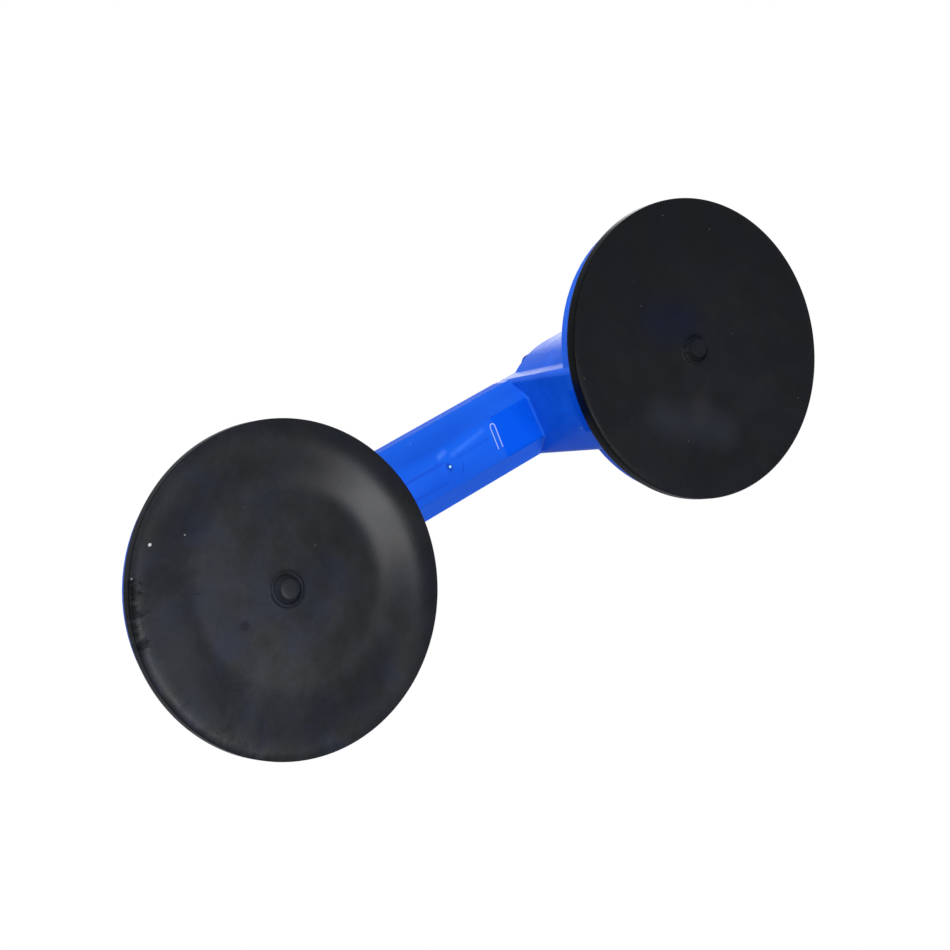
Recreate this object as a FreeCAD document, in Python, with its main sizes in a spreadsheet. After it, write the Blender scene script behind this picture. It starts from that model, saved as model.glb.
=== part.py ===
import FreeCAD, Part
import math
import os
import Sketcher
from types import SimpleNamespace

# Two-cup vacuum lifter for floor tiles. The row frame has its origin on the floor midway between the
# two cups, +X along the grip towards the right cup, and +Z up. Lengths are in millimetres.
# The cups are released: both levers stand up. Folding a lever inwards turns its cam on the wear plate,
# which draws the stud up and with it the middle of the rubber cup.

os.makedirs("parts", exist_ok=True)
doc = FreeCAD.newDocument("TileLifter")
V = FreeCAD.Vector

DRIVING = {
    # rubber cup
    "cup_diameter": 118.0,
    "cup_spacing": 200.8,
    "lip_height": 5.5,
    "lip_bevel": 0.7,
    "lip_land": 1.4,
    "face_recess": 2.5,
    "face_flat_radius": 36.0,
    "nub_base_radius": 6.0,
    "nub_tip_radius": 4.6,
    "nub_height": 2.2,
    "membrane_thickness": 4.0,
    "membrane_gap": 0.5,
    "boss_radius": 26.0,
    "skin_under_plate": 2.0,
    "skin_over_plate": 1.8,
    "bond_line": 0.1,
    # steel plate moulded into the cup
    "plate_radius": 22.0,
    "plate_thickness": 3.0,
    "plate_hole_circle": 15.0,
    "plate_hole_radius": 3.5,
    "plate_hole_count": 4.0,
    # stud
    "stud_radius": 6.0,
    "stud_spigot_radius": 4.0,
    "stud_blade_half_thickness": 4.0,
    "stud_top_over_pin": 6.5,
    "stud_tip_chamfer": 1.0,
    "stud_fit": 0.15,
    # return spring
    "washer_radius": 11.5,
    "washer_thickness": 1.2,
    "spring_wire_radius": 0.8,
    "spring_radius": 8.9,
    "spring_turns": 4.0,
    "spring_lengths_per_turn": 12.0,
    "spring_wire_sides": 8.0,
    "spring_room": 0.6,
    "spring_end_gap": 0.1,
    # head of the frame
    "flange_setback": 2.7,
    "flange_thickness": 8.6,
    "flange_bevel": 1.2,
    "seat_width": 7.5,
    "wall": 3.0,
    "cavity_height": 12.5,
    "cavity_slope": 9.0,
    "dome_step": 4.5,
    "dome_bevel": 1.6,
    "crown_rise": 2.0,
    # tower and lever bay
    "tower_half_width": 21.8,
    "tower_nose_radius": 19.8,
    "tower_flank_radius": 40.0,
    "tower_draft": 2.0,
    "tower_reach": 25.4,
    "tower_back": 3.6,
    "tower_bevel": 1.0,
    "deck_height": 46.0,
    "deck_thickness": 4.0,
    "guide_length": 8.0,
    # leg between head and grip
    "leg_setback": 0.9,
    "leg_half_width": 17.6,
    "leg_draft": 1.3,
    "leg_corner": 3.0,
    "joint_fillet": 0.9,
    # grip
    "grip_underside": 42.0,
    "grip_flat_half_width": 4.0,
    "grip_bevel_half_width": 8.5,
    "grip_bevel_rise": 1.1,
    "grip_half_width": 16.3,
    "grip_side_start": 10.8,
    "grip_parting": 60.0,
    "grip_round": 1.8,
    "block_length": 24.0,
    "block_ramp": 3.6,
    "block_depth": 0.7,
    "block_depth_at_leg": 1.0,
    "rib_thickness": 2.0,
    "rib_pitch": 22.0,
    "grip_floor": 4.5,
    "channel_share": 0.555,
    "channel_step": 6.0,
    "gate_dish_radius": 6.5,
    "gate_dish_depth": 0.35,
    "gate_pip_radius": 1.1,
    "gate_pip_height": 0.7,
    # grip cover
    "cover_height": 6.0,
    "cover_shoulder": 5.0,
    "cover_half_length": 48.6,
    "cover_wall": 2.4,
    "cover_end_bevel": 2.0,
    "cover_inner_round": 1.6,
    "hook_width": 8.0,
    "hook_share": 0.8,
    "hook_thickness": 1.6,
    "cover_fit": 0.1,
    # lever and cam
    "cam_base_radius": 10.0,
    "cam_gap": 0.1,
    "cup_lift": 5.0,
    "lever_travel": 80.0,
    "lever_length": 62.0,
    "lever_half_width": 13.0,
    "lever_tip_half_width": 11.0,
    "lever_taper_start": 16.0,
    "cam_span_count": 12.0,
    "cam_back_angle": 12.0,
    "nose_radius": 3.0,
    "throat_run": 3.0,
    "root_bulge": 2.2,
    "arm_root": 2.0,
    "arm_thickness": 8.0,
    "arm_clearance": 1.0,
    "arm_wall": 2.6,
    "arm_root_length": 20.0,
    "tip_length": 16.0,
    "tip_lift": 3.2,
    "tip_thinning": 2.0,
    "tip_bulge": 1.6,
    "tip_solid": 14.0,
    "fork_gap": 0.5,
    # wear plate, pin and clip
    "wear_thickness": 1.5,
    "wear_half_length": 16.0,
    "wear_half_width": 15.0,
    "wear_corner": 3.0,
    "pin_radius": 3.0,
    "pin_fit": 0.1,
    "eye_fit": 0.025,
    "pin_head_radius": 4.6,
    "pin_head_thickness": 2.0,
    "pin_side_gap": 0.2,
    "pin_end": 1.6,
    "clip_thickness": 0.9,
    "clip_groove_depth": 0.7,
    "clip_radius": 5.4,
    "clip_mouth": 4.0,
    "clip_fit": 0.05,
    # how far a cutting shape runs past the face that it opens
    "overcut": 1.0,
}


class Size:
    """A length that carries both its number and the spreadsheet formula it comes from."""

    def __init__(self, number, formula):
        self.number = number
        self.formula = formula

    def __add__(self, other):
        other = as_size(other)
        return Size(self.number + other.number, f"({self.formula} + {other.formula})")

    def __sub__(self, other):
        other = as_size(other)
        return Size(self.number - other.number, f"({self.formula} - {other.formula})")

    def __mul__(self, other):
        other = as_size(other)
        return Size(self.number * other.number, f"({self.formula} * {other.formula})")

    def __truediv__(self, other):
        other = as_size(other)
        return Size(self.number / other.number, f"({self.formula} / {other.formula})")

    def __neg__(self):
        return Size(-self.number, f"(0 - {self.formula})")


def as_size(value):
    return value if isinstance(value, Size) else Size(float(value), repr(float(value)))


def fill_sheet(values):
    """Writes each driving size into the spreadsheet under its own alias."""
    sheet = doc.addObject("Spreadsheet::Sheet", "Sizes")
    for row, (name, value) in enumerate(values.items(), start=1):
        sheet.set(f"A{row}", name)
        sheet.set(f"B{row}", str(value))
        sheet.setAlias(f"B{row}", name)
    doc.recompute()
    return SimpleNamespace(**{name: Size(value, f"Sizes.{name}") for name, value in values.items()})


s = fill_sheet(DRIVING)

# Heights and places that follow from the driving sizes
head_x = s.cup_spacing / 2
cup_radius = s.cup_diameter / 2
flange_radius = cup_radius - s.flange_setback
seat_z = s.lip_height
flange_top = seat_z + s.flange_thickness
plate_bottom = s.face_recess + s.skin_under_plate
plate_top = plate_bottom + s.plate_thickness
boss_top = plate_top + s.skin_over_plate
cavity_radius = flange_radius - s.seat_width
cavity_top = seat_z + s.cavity_height
dome_shoulder = cavity_top + s.wall - s.crown_rise / 2
dome_top = dome_shoulder + s.crown_rise
shoulder_radius = cavity_radius - s.cavity_slope + s.wall / 2
leg_x = head_x - flange_radius + s.leg_setback
tower_in_x = head_x - s.tower_reach
tower_out_x = head_x + s.tower_back
guide_bottom = s.deck_height - s.guide_length
spring_pocket_radius = s.spring_radius + s.spring_wire_radius + s.spring_room
spring_bottom = boss_top + s.washer_thickness
bore_radius = s.stud_radius + s.stud_fit
wear_top = s.deck_height + s.wear_thickness
pin_z = wear_top + s.cam_gap + s.cam_base_radius
channel_depth = s.grip_parting - s.grip_underside - s.grip_floor
upper_channel = channel_depth * s.channel_share
hook_depth = upper_channel * s.hook_share
grip_crown = s.grip_parting + s.cover_height
fork_half_gap = s.stud_blade_half_thickness + s.fork_gap


# ---------------------------------------------------------------- sketch and feature helpers


def sketch_on(body, name, role, x=None, lift=None):
    """A sketch on one of the body's origin planes, shifted along its own x by x and raised by lift."""
    plane = next(item for item in body.Origin.OriginFeatures if item.Role == role)
    sketch = body.newObject("Sketcher::SketchObject", name)
    sketch.AttachmentSupport = [(plane, "")]
    sketch.MapMode = "FlatFace"
    for axis, shift in (("x", x), ("z", lift)):
        if shift is not None:
            sketch.setExpression(f"AttachmentOffset.Base.{axis}", shift.formula)
    return sketch


def bind(sketch, constraint, size):
    """Adds a dimension to the sketch and ties it to the spreadsheet."""
    index = sketch.addConstraint(constraint)
    sketch.setExpression(f"Constraints[{index}]", size.formula)


def place_point(sketch, geometry, position, x, y):
    """Fixes a point of the sketch at (x, y), measured from the sketch's origin."""
    for kind, axis, size in (("DistanceX", -2, as_size(x)), ("DistanceY", -1, as_size(y))):
        if size.number == 0.0 and size.formula == "0.0":
            sketch.addConstraint(Sketcher.Constraint("PointOnObject", geometry, position, axis))
        else:
            rule = Sketcher.Constraint(kind, -1, 1, geometry, position, size.number)
            bind(sketch, rule, size)


def corner_cut(before, corner, after, radius):
    """Where an arc of this radius leaves and joins the two sides of a corner, and the arc's middle."""
    to_before = (before - corner).normalize()
    to_after = (after - corner).normalize()
    half = to_before.getAngle(to_after) / 2
    leave = corner + to_before * (radius / math.tan(half))
    join = corner + to_after * (radius / math.tan(half))
    bisector = (to_before + to_after).normalize()
    middle = corner + bisector * (radius / math.sin(half) - radius)
    return leave, middle, join


def outline(sketch, corners):
    """A closed outline through corners given as (x, y) or (x, y, radius of the rounded corner)."""
    count = len(corners)
    spots = [V(as_size(c[0]).number, as_size(c[1]).number, 0) for c in corners]
    cuts = []
    for i, corner in enumerate(corners):
        if len(corner) == 3:
            cuts.append(corner_cut(spots[i - 1], spots[i], spots[(i + 1) % count], corner[2].number))
        else:
            cuts.append((spots[i], None, spots[i]))
    sides = []
    for i in range(count):
        segment = Part.LineSegment(cuts[i][2], cuts[(i + 1) % count][0])
        sides.append(sketch.addGeometry(segment, False))
    for i, corner in enumerate(corners):
        before, after = sides[i - 1], sides[i]
        if len(corner) == 2:
            sketch.addConstraint(Sketcher.Constraint("Coincident", before, 2, after, 1))
            place_point(sketch, after, 1, corner[0], corner[1])
            continue
        leave, middle, join = cuts[i]
        arc = sketch.addGeometry(Part.ArcOfCircle(leave, middle, join), False)
        turns_left = (leave - spots[i]).cross(join - spots[i]).z < 0
        first, last = (1, 2) if turns_left else (2, 1)
        sketch.addConstraint(Sketcher.Constraint("Tangent", before, 2, arc, first))
        sketch.addConstraint(Sketcher.Constraint("Tangent", arc, last, after, 1))
        bind(sketch, Sketcher.Constraint("Radius", arc, corner[2].number), corner[2])
        mark = sketch.addGeometry(Part.Point(spots[i]), True)
        place_point(sketch, mark, 1, corner[0], corner[1])
        sketch.addConstraint(Sketcher.Constraint("PointOnObject", mark, 1, before))
        sketch.addConstraint(Sketcher.Constraint("PointOnObject", mark, 1, after))


def circle(sketch, x, y, radius):
    centre = V(as_size(x).number, as_size(y).number, 0)
    ring = sketch.addGeometry(Part.Circle(centre, V(0, 0, 1), radius.number), False)
    place_point(sketch, ring, 3, x, y)
    bind(sketch, Sketcher.Constraint("Radius", ring, radius.number), radius)


def tower_plan(sketch, inset):
    """Plan of the tower, set in by a wall: blunt nose, swelling flanks, straight sides, round end."""
    nose, flank, end = (
        radius - inset for radius in (s.tower_nose_radius, s.tower_flank_radius, s.tower_half_width)
    )
    centre_y = s.tower_flank_radius - s.tower_half_width
    reach = math.sqrt((flank.number - nose.number) ** 2 - centre_y.number**2)
    side_x, end_x, nose_x = tower_in_x.number, tower_out_x.number, tower_in_x.number - reach
    half = end.number
    lean = flank.number / (flank.number - nose.number)
    join = V(side_x - reach * lean, centre_y.number * (1 - lean), 0)
    bend = math.atan2(reach, centre_y.number) / 2
    flank_y = centre_y.number - flank.number * math.cos(bend)
    flank_middle = V(side_x - flank.number * math.sin(bend), flank_y, 0)

    def arc_through(*points):
        return sketch.addGeometry(Part.ArcOfCircle(*points), False)

    def over(point):
        return V(point.x, -point.y, 0)

    tip = arc_through(over(join), V(nose_x - nose.number, 0, 0), join)
    front = arc_through(join, flank_middle, V(side_x, -half, 0))
    rear = arc_through(V(side_x, half, 0), over(flank_middle), over(join))
    back = arc_through(V(end_x, -half, 0), V(end_x + half, 0, 0), V(end_x, half, 0))
    lower = sketch.addGeometry(Part.LineSegment(V(side_x, -half, 0), V(end_x, -half, 0)), False)
    upper = sketch.addGeometry(Part.LineSegment(V(end_x, half, 0), V(side_x, half, 0)), False)
    for first, first_end, second, second_end in (
        (tip, 2, front, 1),
        (front, 2, lower, 1),
        (lower, 2, back, 1),
        (back, 2, upper, 1),
        (upper, 2, rear, 1),
        (rear, 2, tip, 1),
    ):
        sketch.addConstraint(Sketcher.Constraint("Tangent", first, first_end, second, second_end))
    place_point(sketch, front, 3, tower_in_x, centre_y)
    place_point(sketch, rear, 3, tower_in_x, -centre_y)
    place_point(sketch, back, 3, tower_out_x, 0)
    bind(sketch, Sketcher.Constraint("Radius", front, flank.number), flank)
    bind(sketch, Sketcher.Constraint("Radius", rear, flank.number), flank)
    bind(sketch, Sketcher.Constraint("Radius", tip, nose.number), nose)


def solid_volume(body):
    doc.recompute()
    return body.Shape.Volume


def extrude(body, kind, name, sketch, length, midplane=False, taper=None, reverse=False):
    """A pad or pocket; a pocket that removes nothing, or a pad that adds nothing, is an error."""
    before = body.Shape.Volume if body.Tip and not body.Shape.isNull() else 0.0
    feature = body.newObject(f"PartDesign::{kind}", name)
    feature.Profile = sketch
    feature.Midplane = midplane
    feature.Reversed = reverse
    feature.Length = length.number
    feature.setExpression("Length", length.formula)
    if taper is not None:
        feature.TaperAngle = taper.number
        feature.setExpression("TaperAngle", taper.formula)
    check_change(body, feature, before, kind == "Pad")
    return feature


def revolve(body, kind, name, sketch, axis="V_Axis"):
    """A revolution or groove right round an axis of its sketch."""
    before = body.Shape.Volume if body.Tip and not body.Shape.isNull() else 0.0
    feature = body.newObject(f"PartDesign::{kind}", name)
    feature.Profile = sketch
    feature.ReferenceAxis = (sketch, [axis])
    feature.Angle = 360.0
    check_change(body, feature, before, kind == "Revolution")
    return feature


def check_change(body, feature, before, grows):
    after = solid_volume(body)
    if (after > before) != grows or abs(after - before) < 1e-3:
        raise RuntimeError(f"{feature.Label} leaves {body.Label} at {after:.2f} from {before:.2f} mm3")


def soften(body, kind, name, size, chosen):
    """Fillets or chamfers the edges of the body that chosen picks."""
    doc.recompute()
    base = body.Tip
    names = [f"Edge{i}" for i, edge in enumerate(base.Shape.Edges, start=1) if chosen(edge)]
    if not names:
        raise RuntimeError(f"{name} finds no edge on {body.Label}")
    feature = body.newObject(f"PartDesign::{kind}", name)
    feature.Base = (base, names)
    feature.setExpression("Radius" if kind == "Fillet" else "Size", size.formula)
    doc.recompute()
    return feature


def new_body(label):
    body = doc.addObject("PartDesign::Body", label)
    body.Label = label
    return body


def set_at_head(item, side, z=None):
    """Puts a piece made about its own origin on the axis of a head; the left one is turned to face it."""
    sign = 1 if side == "right" else -1
    turn = 0 if side == "right" else 180
    height = z.number if z is not None else 0.0
    item.Placement = FreeCAD.Placement(V(sign * head_x.number, 0, height), FreeCAD.Rotation(V(0, 0, 1), turn))
    item.setExpression("Placement.Base.x", (head_x * sign).formula)
    if z is not None:
        item.setExpression("Placement.Base.z", z.formula)
    return item


# ---------------------------------------------------------------- frame


def grip_section():
    """Corners of the grip's lower part, in the plane across it."""
    low = s.grip_underside
    right = [
        (s.grip_flat_half_width, low, s.grip_round),
        (s.grip_bevel_half_width, low + s.grip_bevel_rise, s.grip_round),
        (s.grip_half_width, low + s.grip_side_start, s.grip_round),
        (s.grip_half_width, s.grip_parting),
    ]
    left = [(-corner[0], *corner[1:]) for corner in reversed(right)]
    return right + left


def make_frame():
    """The blue moulding: grip underside, legs, domed heads and lever towers, as a half mirrored over."""
    body = new_body("frame")

    sketch = sketch_on(body, "GripSection", "YZ_Plane")
    outline(sketch, grip_section())
    grip_end = leg_x + s.leg_corner
    extrude(body, "Pad", "Grip", sketch, grip_end)

    block_x = leg_x - s.block_length
    sketch = sketch_on(body, "BlockCut", "XZ_Plane")
    outline(
        sketch,
        [
            (block_x, s.grip_underside),
            (block_x, s.grip_underside - s.overcut),
            (grip_end, s.grip_underside - s.overcut),
            (grip_end, s.grip_underside + s.block_depth_at_leg),
            (block_x + s.block_ramp, s.grip_underside + s.block_depth),
        ],
    )
    extrude(body, "Pocket", "EndBlock", sketch, s.grip_half_width * 2, midplane=True)

    sketch = sketch_on(body, "LegPlan", "XY_Plane", lift=seat_z)
    outline(
        sketch,
        [
            (leg_x, -s.leg_half_width, s.leg_corner),
            (tower_in_x, -s.leg_half_width),
            (tower_in_x, s.leg_half_width),
            (leg_x, s.leg_half_width, s.leg_corner),
        ],
    )
    extrude(body, "Pad", "Leg", sketch, s.grip_parting - seat_z, taper=-s.leg_draft)

    sketch = sketch_on(body, "DomeProfile", "XZ_Plane", x=head_x)
    outline(
        sketch,
        [
            (0, seat_z),
            (flange_radius, seat_z),
            (flange_radius, flange_top - s.flange_bevel),
            (flange_radius - s.flange_bevel, flange_top),
            (flange_radius - s.dome_step, flange_top),
            (shoulder_radius + s.dome_bevel, dome_shoulder - s.dome_bevel),
            (shoulder_radius - s.dome_bevel, dome_shoulder),
            (s.tower_half_width, dome_top),
            (0, dome_top),
        ],
    )
    revolve(body, "Revolution", "Dome", sketch)

    sketch = sketch_on(body, "TowerPlan", "XY_Plane", lift=s.grip_parting)
    tower_plan(sketch, as_size(0))
    extrude(
        body, "Pad", "Tower", sketch, s.grip_parting - cavity_top, taper=s.tower_draft, reverse=True
    )

    sketch = sketch_on(body, "CavityProfile", "XZ_Plane", x=head_x)
    outline(
        sketch,
        [
            (0, seat_z - s.overcut),
            (cavity_radius, seat_z - s.overcut),
            (cavity_radius, seat_z),
            (cavity_radius - s.cavity_slope, cavity_top),
            (spring_pocket_radius, cavity_top),
            (spring_pocket_radius, guide_bottom),
            (bore_radius, guide_bottom),
            (bore_radius, s.grip_parting),
            (0, s.grip_parting),
        ],
    )
    revolve(body, "Groove", "Cavity", sketch)

    sketch = sketch_on(body, "BayPlan", "XY_Plane", lift=s.grip_parting)
    tower_plan(sketch, s.wall)
    extrude(body, "Pocket", "Bay", sketch, s.grip_parting - s.deck_height)

    sketch = sketch_on(body, "CorePlan", "XY_Plane", lift=cavity_top - s.overcut)
    tower_plan(sketch, s.wall)
    circle(sketch, head_x, 0, spring_pocket_radius + s.wall)
    core_height = s.deck_height - s.deck_thickness - cavity_top + s.overcut
    extrude(body, "Pocket", "TowerCore", sketch, core_height, reverse=True)

    inner = s.grip_half_width - s.wall
    for level, half, depth in (
        ("Upper", inner, upper_channel),
        ("Lower", inner - s.channel_step, channel_depth),
    ):
        for index in range(2):
            start = s.rib_pitch * index + s.rib_thickness / 2
            end = start + s.rib_pitch - s.rib_thickness
            name = f"{level}Channel{index}"
            sketch = sketch_on(body, name + "Plan", "XY_Plane", lift=s.grip_parting)
            outline(sketch, [(start, -half), (end, -half), (end, half), (start, half)])
            extrude(body, "Pocket", name, sketch, depth)

    soften(body, "Chamfer", "TowerRim", s.tower_bevel, is_tower_rim)
    soften(body, "Fillet", "GripRoot", s.joint_fillet, is_grip_root)

    body_half = body.Tip
    mirror = body.newObject("PartDesign::Mirrored", "BothHalves")
    mirror.TransformMode = "Whole shape"
    plane = next(item for item in body.Origin.OriginFeatures if item.Role == "YZ_Plane")
    mirror.MirrorPlane = (plane, [""])
    body.Tip = mirror
    doc.recompute()
    if mirror.Shape.Volume < 1.9 * body_half.Shape.Volume:
        raise RuntimeError("the frame's second half is missing")

    sketch = sketch_on(body, "GateDishPlan", "XY_Plane", lift=s.grip_underside - s.gate_dish_depth)
    circle(sketch, 0, 0, s.gate_dish_radius)
    extrude(body, "Pocket", "GateDish", sketch, s.gate_dish_depth * 2, reverse=True)
    pip_bottom = s.grip_underside + s.gate_dish_depth - s.gate_pip_height
    sketch = sketch_on(body, "GatePipPlan", "XY_Plane", lift=pip_bottom)
    circle(sketch, 0, 0, s.gate_pip_radius)
    extrude(body, "Pad", "GatePip", sketch, s.gate_pip_height * 2)
    return body


def is_tower_rim(edge):
    """The outer top edges of the tower, beyond the middle of its wall."""
    box = edge.BoundBox
    wall_middle = (s.tower_half_width - s.wall / 2).number
    at_top = box.ZMin > s.grip_parting.number - 0.01
    return at_top and box.XMax > tower_in_x.number - 0.01 and max(-box.YMin, box.YMax) > wall_middle


def is_grip_root(edge):
    """The inside corner where the grip runs into the face of the leg."""
    box = edge.BoundBox
    on_leg = abs(box.Center.x - leg_x.number) < s.leg_corner.number and box.XLength < s.leg_corner.number
    at_grip = s.grip_underside.number - 1 < box.ZMin and box.ZMax < s.grip_parting.number - 1
    return on_leg and at_grip and box.YLength > 0.05


def make_cover():
    """The top shell of the grip, pressed into the channel on four hooks."""
    body = new_body("grip_cover")
    wall = s.cover_wall
    side = s.grip_half_width
    sketch = sketch_on(body, "CoverSection", "YZ_Plane")
    outline(
        sketch,
        [
            (-side, s.grip_parting),
            (-side + wall, s.grip_parting),
            (-side + wall, grip_crown - wall, s.cover_inner_round),
            (side - wall, grip_crown - wall, s.cover_inner_round),
            (side - wall, s.grip_parting),
            (side, s.grip_parting),
            (side, grip_crown, s.cover_shoulder),
            (-side, grip_crown, s.cover_shoulder),
        ],
    )
    extrude(body, "Pad", "Shell", sketch, s.cover_half_length * 2, midplane=True)

    for name, sign in (("RightEnd", 1), ("LeftEnd", -1)):
        sketch = sketch_on(body, name + "Section", "YZ_Plane", lift=(s.cover_half_length - wall / 2) * sign)
        outline(
            sketch,
            [
                (-side, s.grip_parting),
                (side, s.grip_parting),
                (side, grip_crown, s.cover_shoulder),
                (-side, grip_crown, s.cover_shoulder),
            ],
        )
        extrude(body, "Pad", name, sketch, wall, midplane=True)

    inner = s.grip_half_width - s.wall - s.cover_fit
    for name, sign in (("RearHook", 1), ("FrontHook", -1)):
        for end, way in (("Right", 1), ("Left", -1)):
            sketch = sketch_on(body, end + name + "Plan", "XY_Plane", lift=s.grip_parting - hook_depth)
            middle = (s.rib_pitch * 1.5) * way
            outline(
                sketch,
                [
                    (middle - s.hook_width / 2, (inner - s.hook_thickness) * sign),
                    (middle + s.hook_width / 2, (inner - s.hook_thickness) * sign),
                    (middle + s.hook_width / 2, inner * sign),
                    (middle - s.hook_width / 2, inner * sign),
                ],
            )
            extrude(body, "Pad", end + name, sketch, hook_depth + s.cover_height - wall / 2)
    soften(body, "Chamfer", "EndBevel", s.cover_end_bevel, is_cover_end)
    return body


def is_cover_end(edge):
    """The outer top edges of the cover's two end faces."""
    box = edge.BoundBox
    at_end = abs(abs(box.Center.x) - s.cover_half_length.number) < 0.01 and box.XLength < 0.01
    return at_end and box.ZMin > s.grip_parting.number + 0.5 and box.ZMax > grip_crown.number - 0.01


# ---------------------------------------------------------------- pieces of one head


def make_cup(side):
    """The rubber cup: thick rim, thin membrane and a boss moulded round the steel plate."""
    body = new_body(f"{side}_cup")
    rim_inner = cavity_radius - s.membrane_gap
    face = s.face_recess
    sketch = sketch_on(body, "CupProfile", "XZ_Plane")
    outline(
        sketch,
        [
            (0, face - s.nub_height),
            (s.nub_tip_radius, face - s.nub_height),
            (s.nub_base_radius, face),
            (s.face_flat_radius, face),
            (cup_radius - s.lip_bevel - s.lip_land, 0),
            (cup_radius - s.lip_bevel, 0),
            (cup_radius, s.lip_bevel),
            (cup_radius, s.lip_height),
            (rim_inner, s.lip_height),
            (rim_inner - s.membrane_thickness, face + s.membrane_thickness),
            (s.boss_radius + s.membrane_thickness / 2, face + s.membrane_thickness),
            (s.boss_radius, boss_top),
            (s.stud_radius + s.bond_line, boss_top),
            (s.stud_radius + s.bond_line, plate_top + s.bond_line),
            (s.plate_radius + s.bond_line, plate_top + s.bond_line),
            (s.plate_radius + s.bond_line, plate_bottom - s.bond_line),
            (0, plate_bottom - s.bond_line),
        ],
    )
    revolve(body, "Revolution", "Cup", sketch)
    return set_at_head(body, side)


def make_insert_plate(side):
    """The steel plate in the cup, with a ring of holes that the rubber keys into."""
    body = new_body(f"{side}_insert_plate")
    sketch = sketch_on(body, "PlatePlan", "XY_Plane", lift=plate_bottom)
    circle(sketch, 0, 0, s.plate_radius)
    circle(sketch, 0, 0, s.stud_spigot_radius)
    extrude(body, "Pad", "Plate", sketch, s.plate_thickness)
    sketch = sketch_on(body, "KeyHole", "XY_Plane", lift=plate_top)
    circle(sketch, s.plate_hole_circle, 0, s.plate_hole_radius)
    hole = extrude(body, "Pocket", "KeyHoleCut", sketch, s.plate_thickness)
    pattern = body.newObject("PartDesign::PolarPattern", "KeyHoles")
    pattern.Originals = [hole]
    pattern.Axis = (sketch, ["N_Axis"])
    pattern.Angle = 360.0
    pattern.setExpression("Occurrences", s.plate_hole_count.formula)
    body.Tip = pattern
    return set_at_head(body, side)


def make_stud(side):
    """The steel stud: riveted into the plate, guided by the frame, flattened and drilled for the pin."""
    body = new_body(f"{side}_stud")
    top = pin_z + s.stud_top_over_pin
    sketch = sketch_on(body, "StudProfile", "XZ_Plane")
    outline(
        sketch,
        [
            (0, plate_bottom),
            (s.stud_spigot_radius, plate_bottom),
            (s.stud_spigot_radius, plate_top),
            (s.stud_radius, plate_top),
            (s.stud_radius, top - s.stud_tip_chamfer),
            (s.stud_radius - s.stud_tip_chamfer, top),
            (0, top),
        ],
    )
    revolve(body, "Revolution", "Shank", sketch)
    flat_bottom = wear_top - s.cup_lift - s.fork_gap
    for name, sign in (("FrontFlat", -1), ("RearFlat", 1)):
        sketch = sketch_on(body, name + "Plan", "XY_Plane", lift=flat_bottom)
        outline(
            sketch,
            [
                (-s.stud_radius, s.stud_blade_half_thickness * sign),
                (s.stud_radius, s.stud_blade_half_thickness * sign),
                (s.stud_radius, s.stud_radius * sign),
                (-s.stud_radius, s.stud_radius * sign),
            ],
        )
        extrude(body, "Pocket", name, sketch, top - flat_bottom, reverse=True)
    sketch = sketch_on(body, "EyePlan", "XZ_Plane")
    circle(sketch, 0, pin_z, s.pin_radius + s.eye_fit)
    extrude(body, "Pocket", "Eye", sketch, s.stud_radius * 2, midplane=True)
    return set_at_head(body, side)


def make_spring_washer(side):
    """The steel washer that spreads the spring's push over the rubber boss."""
    washer = doc.addObject("Part::Cylinder", f"{side}_washer_disc")
    washer.setExpression("Radius", s.washer_radius.formula)
    washer.setExpression("Height", s.washer_thickness.formula)
    hole = doc.addObject("Part::Cylinder", f"{side}_washer_hole")
    hole.setExpression("Radius", bore_radius.formula)
    hole.setExpression("Height", s.washer_thickness.formula)
    ring = doc.addObject("Part::Cut", f"{side}_spring_washer")
    ring.Base = washer
    ring.Tool = hole
    return set_at_head(ring, side, boss_top)


def spring_spot(index):
    """Centre of the wire at a corner of the spring, counted from its foot."""
    corners = s.spring_turns.number * s.spring_lengths_per_turn.number
    foot = s.spring_wire_radius + s.spring_end_gap
    rise = guide_bottom - spring_bottom - foot * 2
    angle = 2 * math.pi * index / s.spring_lengths_per_turn.number
    radius = s.spring_radius.number
    height = foot.number + rise.number * index / corners
    return V(radius * math.cos(angle), radius * math.sin(angle), height)


def make_return_spring(side):
    """The coil spring that pushes the cup down: straight lengths of many-sided wire, mitred together."""
    last = round(s.spring_turns.number * s.spring_lengths_per_turn.number)
    sides = round(s.spring_wire_sides.number)
    centre = spring_spot(0)
    ahead = (spring_spot(1) - centre).normalize()
    across = ahead.cross(V(0, 0, 1)).normalize()
    upward = across.cross(ahead)
    turns = [2 * math.pi * i / sides for i in range(sides)]
    wire = s.spring_wire_radius.number
    ring = [centre + across * (wire * math.cos(a)) + upward * (wire * math.sin(a)) for a in turns]
    faces = []
    for index in range(last + 1):
        centre = spring_spot(index)
        behind = (centre - spring_spot(index - 1)).normalize()
        ahead = (spring_spot(index + 1) - centre).normalize()
        run = behind if index else ahead
        mitre = behind + ahead
        moved = [point + run * ((centre - point).dot(mitre) / run.dot(mitre)) for point in ring]
        if index:
            for i in range(sides):
                corners = [ring[i], ring[i - 1], moved[i - 1], moved[i], ring[i]]
                faces.append(Part.Face(Part.makePolygon(corners)))
        if index in (0, last):
            faces.append(Part.Face(Part.makePolygon(moved + moved[:1])))
        ring = moved
    coil = Part.Solid(Part.Shell(faces))
    if coil.Volume < 0:
        coil.reverse()
    item = doc.addObject("Part::Feature", f"{side}_return_spring")
    item.Shape = coil
    return set_at_head(item, side, spring_bottom)


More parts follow.
